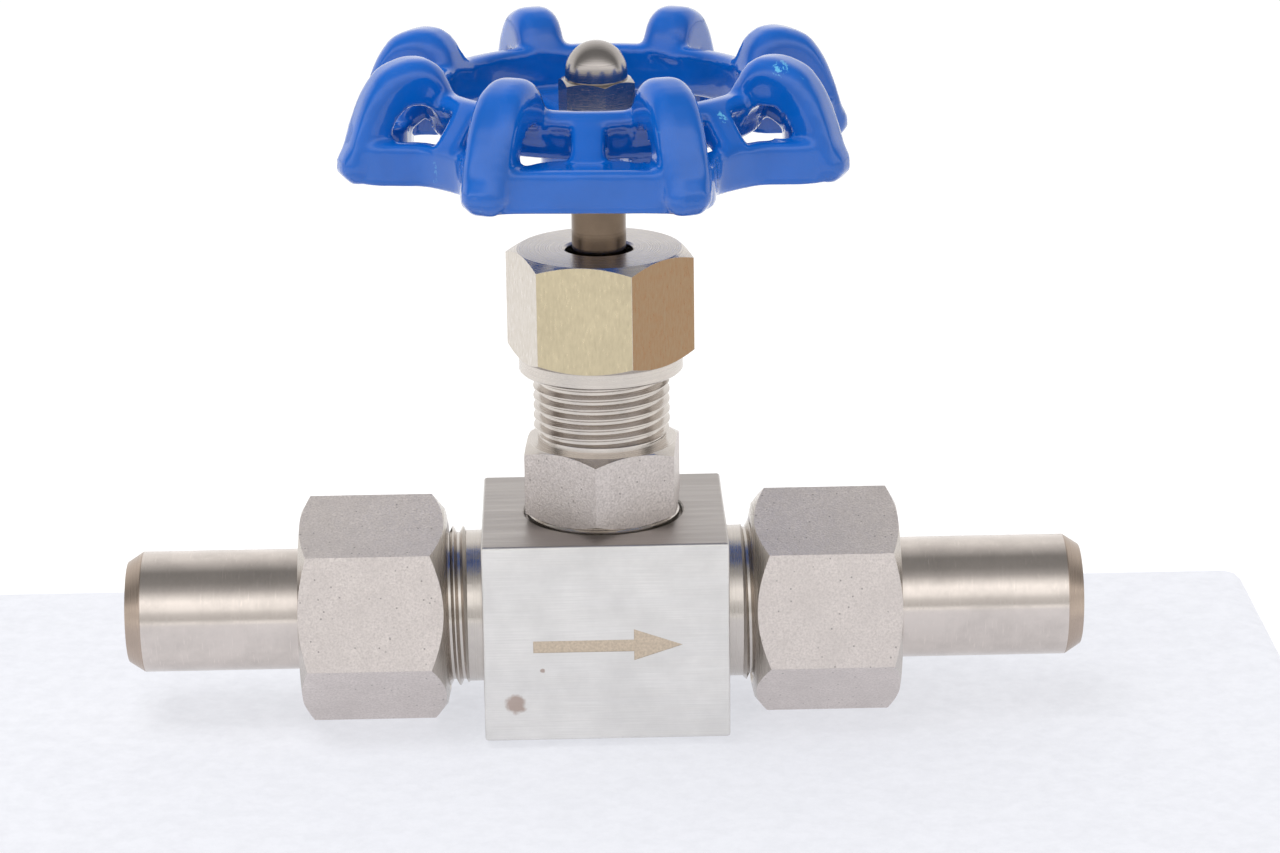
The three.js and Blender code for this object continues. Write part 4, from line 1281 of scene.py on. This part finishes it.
class VALVE_OT_studio(bpy.types.Operator):
    """Floor, soft light, sky and camera"""

    bl_idname = "needle_valve.studio"
    bl_label = "Studio"

    def execute(self, context):
        studio = context.scene.valve_studio
        finishes = context.scene.valve_finishes
        low = Vector((-studio.foam_left, -studio.foam_front, CAD_LOW.z - studio.foam_height))
        high = Vector((studio.foam_right, studio.foam_back, CAD_LOW.z))
        # The foam block and the table both glow: painted light that lifts the shadows cast on
        # them.
        foam = box_piece("foam_block", low, high, 3 * MM)
        smooth(foam)
        paint_faces(foam, [pale_sheet("white_foam_block", finishes.floor, 0.5, 1.1,
                                      2.6 * MM)],
                    lambda centre, normal: 0)
        clear_selection()
        bpy.ops.mesh.primitive_circle_add(vertices=96, radius=studio.floor_radius,
                                          fill_type="NGON", location=(0, 0, low.z))
        table = bpy.context.object
        table.name = "white_table"
        settle(table)
        paint_faces(table, [pale_sheet("white_table_top", finishes.table, 0.9, 0.75,
                                       9 * MM)],
                    lambda centre, normal: 0)
        self.sky(context.scene)
        self.lamp("overhead_softbox", (-0.25, -0.1, 0.9), 0.7, studio.lamp_power)
        self.camera(context.scene, studio)
        return {"FINISHED"}

    def lamp(self, name, place, width, power):
        """A soft lamp that looks at the valve and doesn't show in the polished metal."""
        clear_selection()
        bpy.ops.object.light_add(type="AREA", location=place)
        lamp = bpy.context.object
        lamp.name = name
        lamp.data.shape = "DISK"
        lamp.data.size = width
        lamp.data.energy = power
        lamp.visible_glossy = False
        aim = Vector((0, 0, AXIS_HEIGHT)) - Vector(place)
        lamp.rotation_euler = aim.to_track_quat("-Z", "Y").to_euler()

    def sky(self, scene):
        """Plain studio light: bright in front at half height, dim overhead, white behind."""
        world = bpy.data.worlds.new("studio_sky")
        world.use_nodes = True
        scene.world = world
        tree = world.node_tree
        backdrop = tree.nodes["Background"]
        way = add(tree, "ShaderNodeSeparateXYZ",
                  {"Vector": add(tree, "ShaderNodeTexCoord").outputs["Generated"]})
        front = maths(tree, "MULTIPLY", way.outputs["Y"], -1.0)
        share = maths(tree, "DIVIDE", maths(tree, "ARCTAN2", way.outputs["Z"], front), math.pi)
        ramp = add(tree, "ShaderNodeValToRGB", {"Fac": share})
        # share of the half turn from the front horizon over the top to the back: grey
        stops = [(0.0, 0.62), (0.07, 0.80), (0.12, 1.25), (0.2, 1.45), (0.26, 0.95),
                 (0.32, 0.50), (0.4, 0.30), (0.54, 0.26), (0.63, 0.56), (0.75, 0.95),
                 (1.0, 1.15)]
        elements = ramp.color_ramp.elements
        elements[0].position = stops[0][0]
        elements[1].position = stops[-1][0]
        for position, _ in stops[1:-1]:
            elements.new(position)
        brightest = max(grey for _, grey in stops)
        for element, (_, grey) in zip(elements, stops):
            tone = grey / brightest
            element.color = (tone, tone * 0.99, tone * 0.98, 1.0)
        tree.links.new(ramp.outputs["Color"], backdrop.inputs["Color"])
        backdrop.inputs["Strength"].default_value = brightest

    def camera(self, scene, studio):
        """The camera, aimed by azimuth, elevation, roll and distance."""
        a, e, r = studio.azimuth, studio.elevation, studio.roll
        ahead = Vector((math.sin(a) * math.cos(e), math.cos(a) * math.cos(e), -math.sin(e)))
        level_right = Vector((math.cos(a), -math.sin(a), 0))
        level_up = level_right.cross(ahead)
        right = level_right * math.cos(r) + level_up * math.sin(r)
        up = level_up * math.cos(r) - level_right * math.sin(r)
        target = Vector((studio.aside, 0, AXIS_HEIGHT + studio.aim))
        clear_selection()
        bpy.ops.object.camera_add(location=target - ahead * studio.distance)
        camera = bpy.context.object
        camera.name = "studio_camera"
        camera.rotation_euler = Matrix((right, up, -ahead)).transposed().to_euler()
        camera.data.lens = studio.lens
        camera.data.sensor_width = 36
        camera.data.clip_start = 0.01
        camera.data.clip_end = 100
        scene.camera = camera
        scene.view_settings.view_transform = "Standard"


class VALVE_PT_panel(bpy.types.Panel):
    """Lists the pieces of the valve"""

    bl_idname = "VALVE_PT_panel"
    bl_label = "Needle Valve"
    bl_space_type = "VIEW_3D"
    bl_region_type = "UI"
    bl_category = "Needle Valve"

    def draw(self, context):
        for operator in OPERATORS:
            self.layout.operator(operator.bl_idname)
        for name in GROUPS:
            group = getattr(context.scene, name)
            box = self.layout.box()
            for prop in group.bl_rna.properties:
                if prop.identifier not in ("name", "rna_type"):
                    box.prop(group, prop.identifier)


GROUPS = {"valve_sizes": ValveSizes, "wheel_sizes": WheelSizes, "valve_finishes": Finishes,
          "valve_studio": Studio}
OPERATORS = (VALVE_OT_block, VALVE_OT_bonnet, VALVE_OT_packing_nut, VALVE_OT_stem,
             VALVE_OT_handwheel, VALVE_OT_dome_nut, VALVE_OT_union_nuts, VALVE_OT_nipples,
             VALVE_OT_inner_parts, VALVE_OT_studio)


def register():
    for group in GROUPS.values():
        bpy.utils.register_class(group)
    for name, group in GROUPS.items():
        setattr(bpy.types.Scene, name, PointerProperty(type=group))
    for operator in OPERATORS:
        bpy.utils.register_class(operator)
    bpy.utils.register_class(VALVE_PT_panel)


def unregister():
    bpy.utils.unregister_class(VALVE_PT_panel)
    for operator in reversed(OPERATORS):
        bpy.utils.unregister_class(operator)
    for name in GROUPS:
        delattr(bpy.types.Scene, name)
    for group in reversed(list(GROUPS.values())):
        bpy.utils.unregister_class(group)


def main():
    register()
    for operator in OPERATORS:
        family, name = operator.bl_idname.split(".")
        getattr(getattr(bpy.ops, family), name)()


if __name__ == "__main__":
    main()
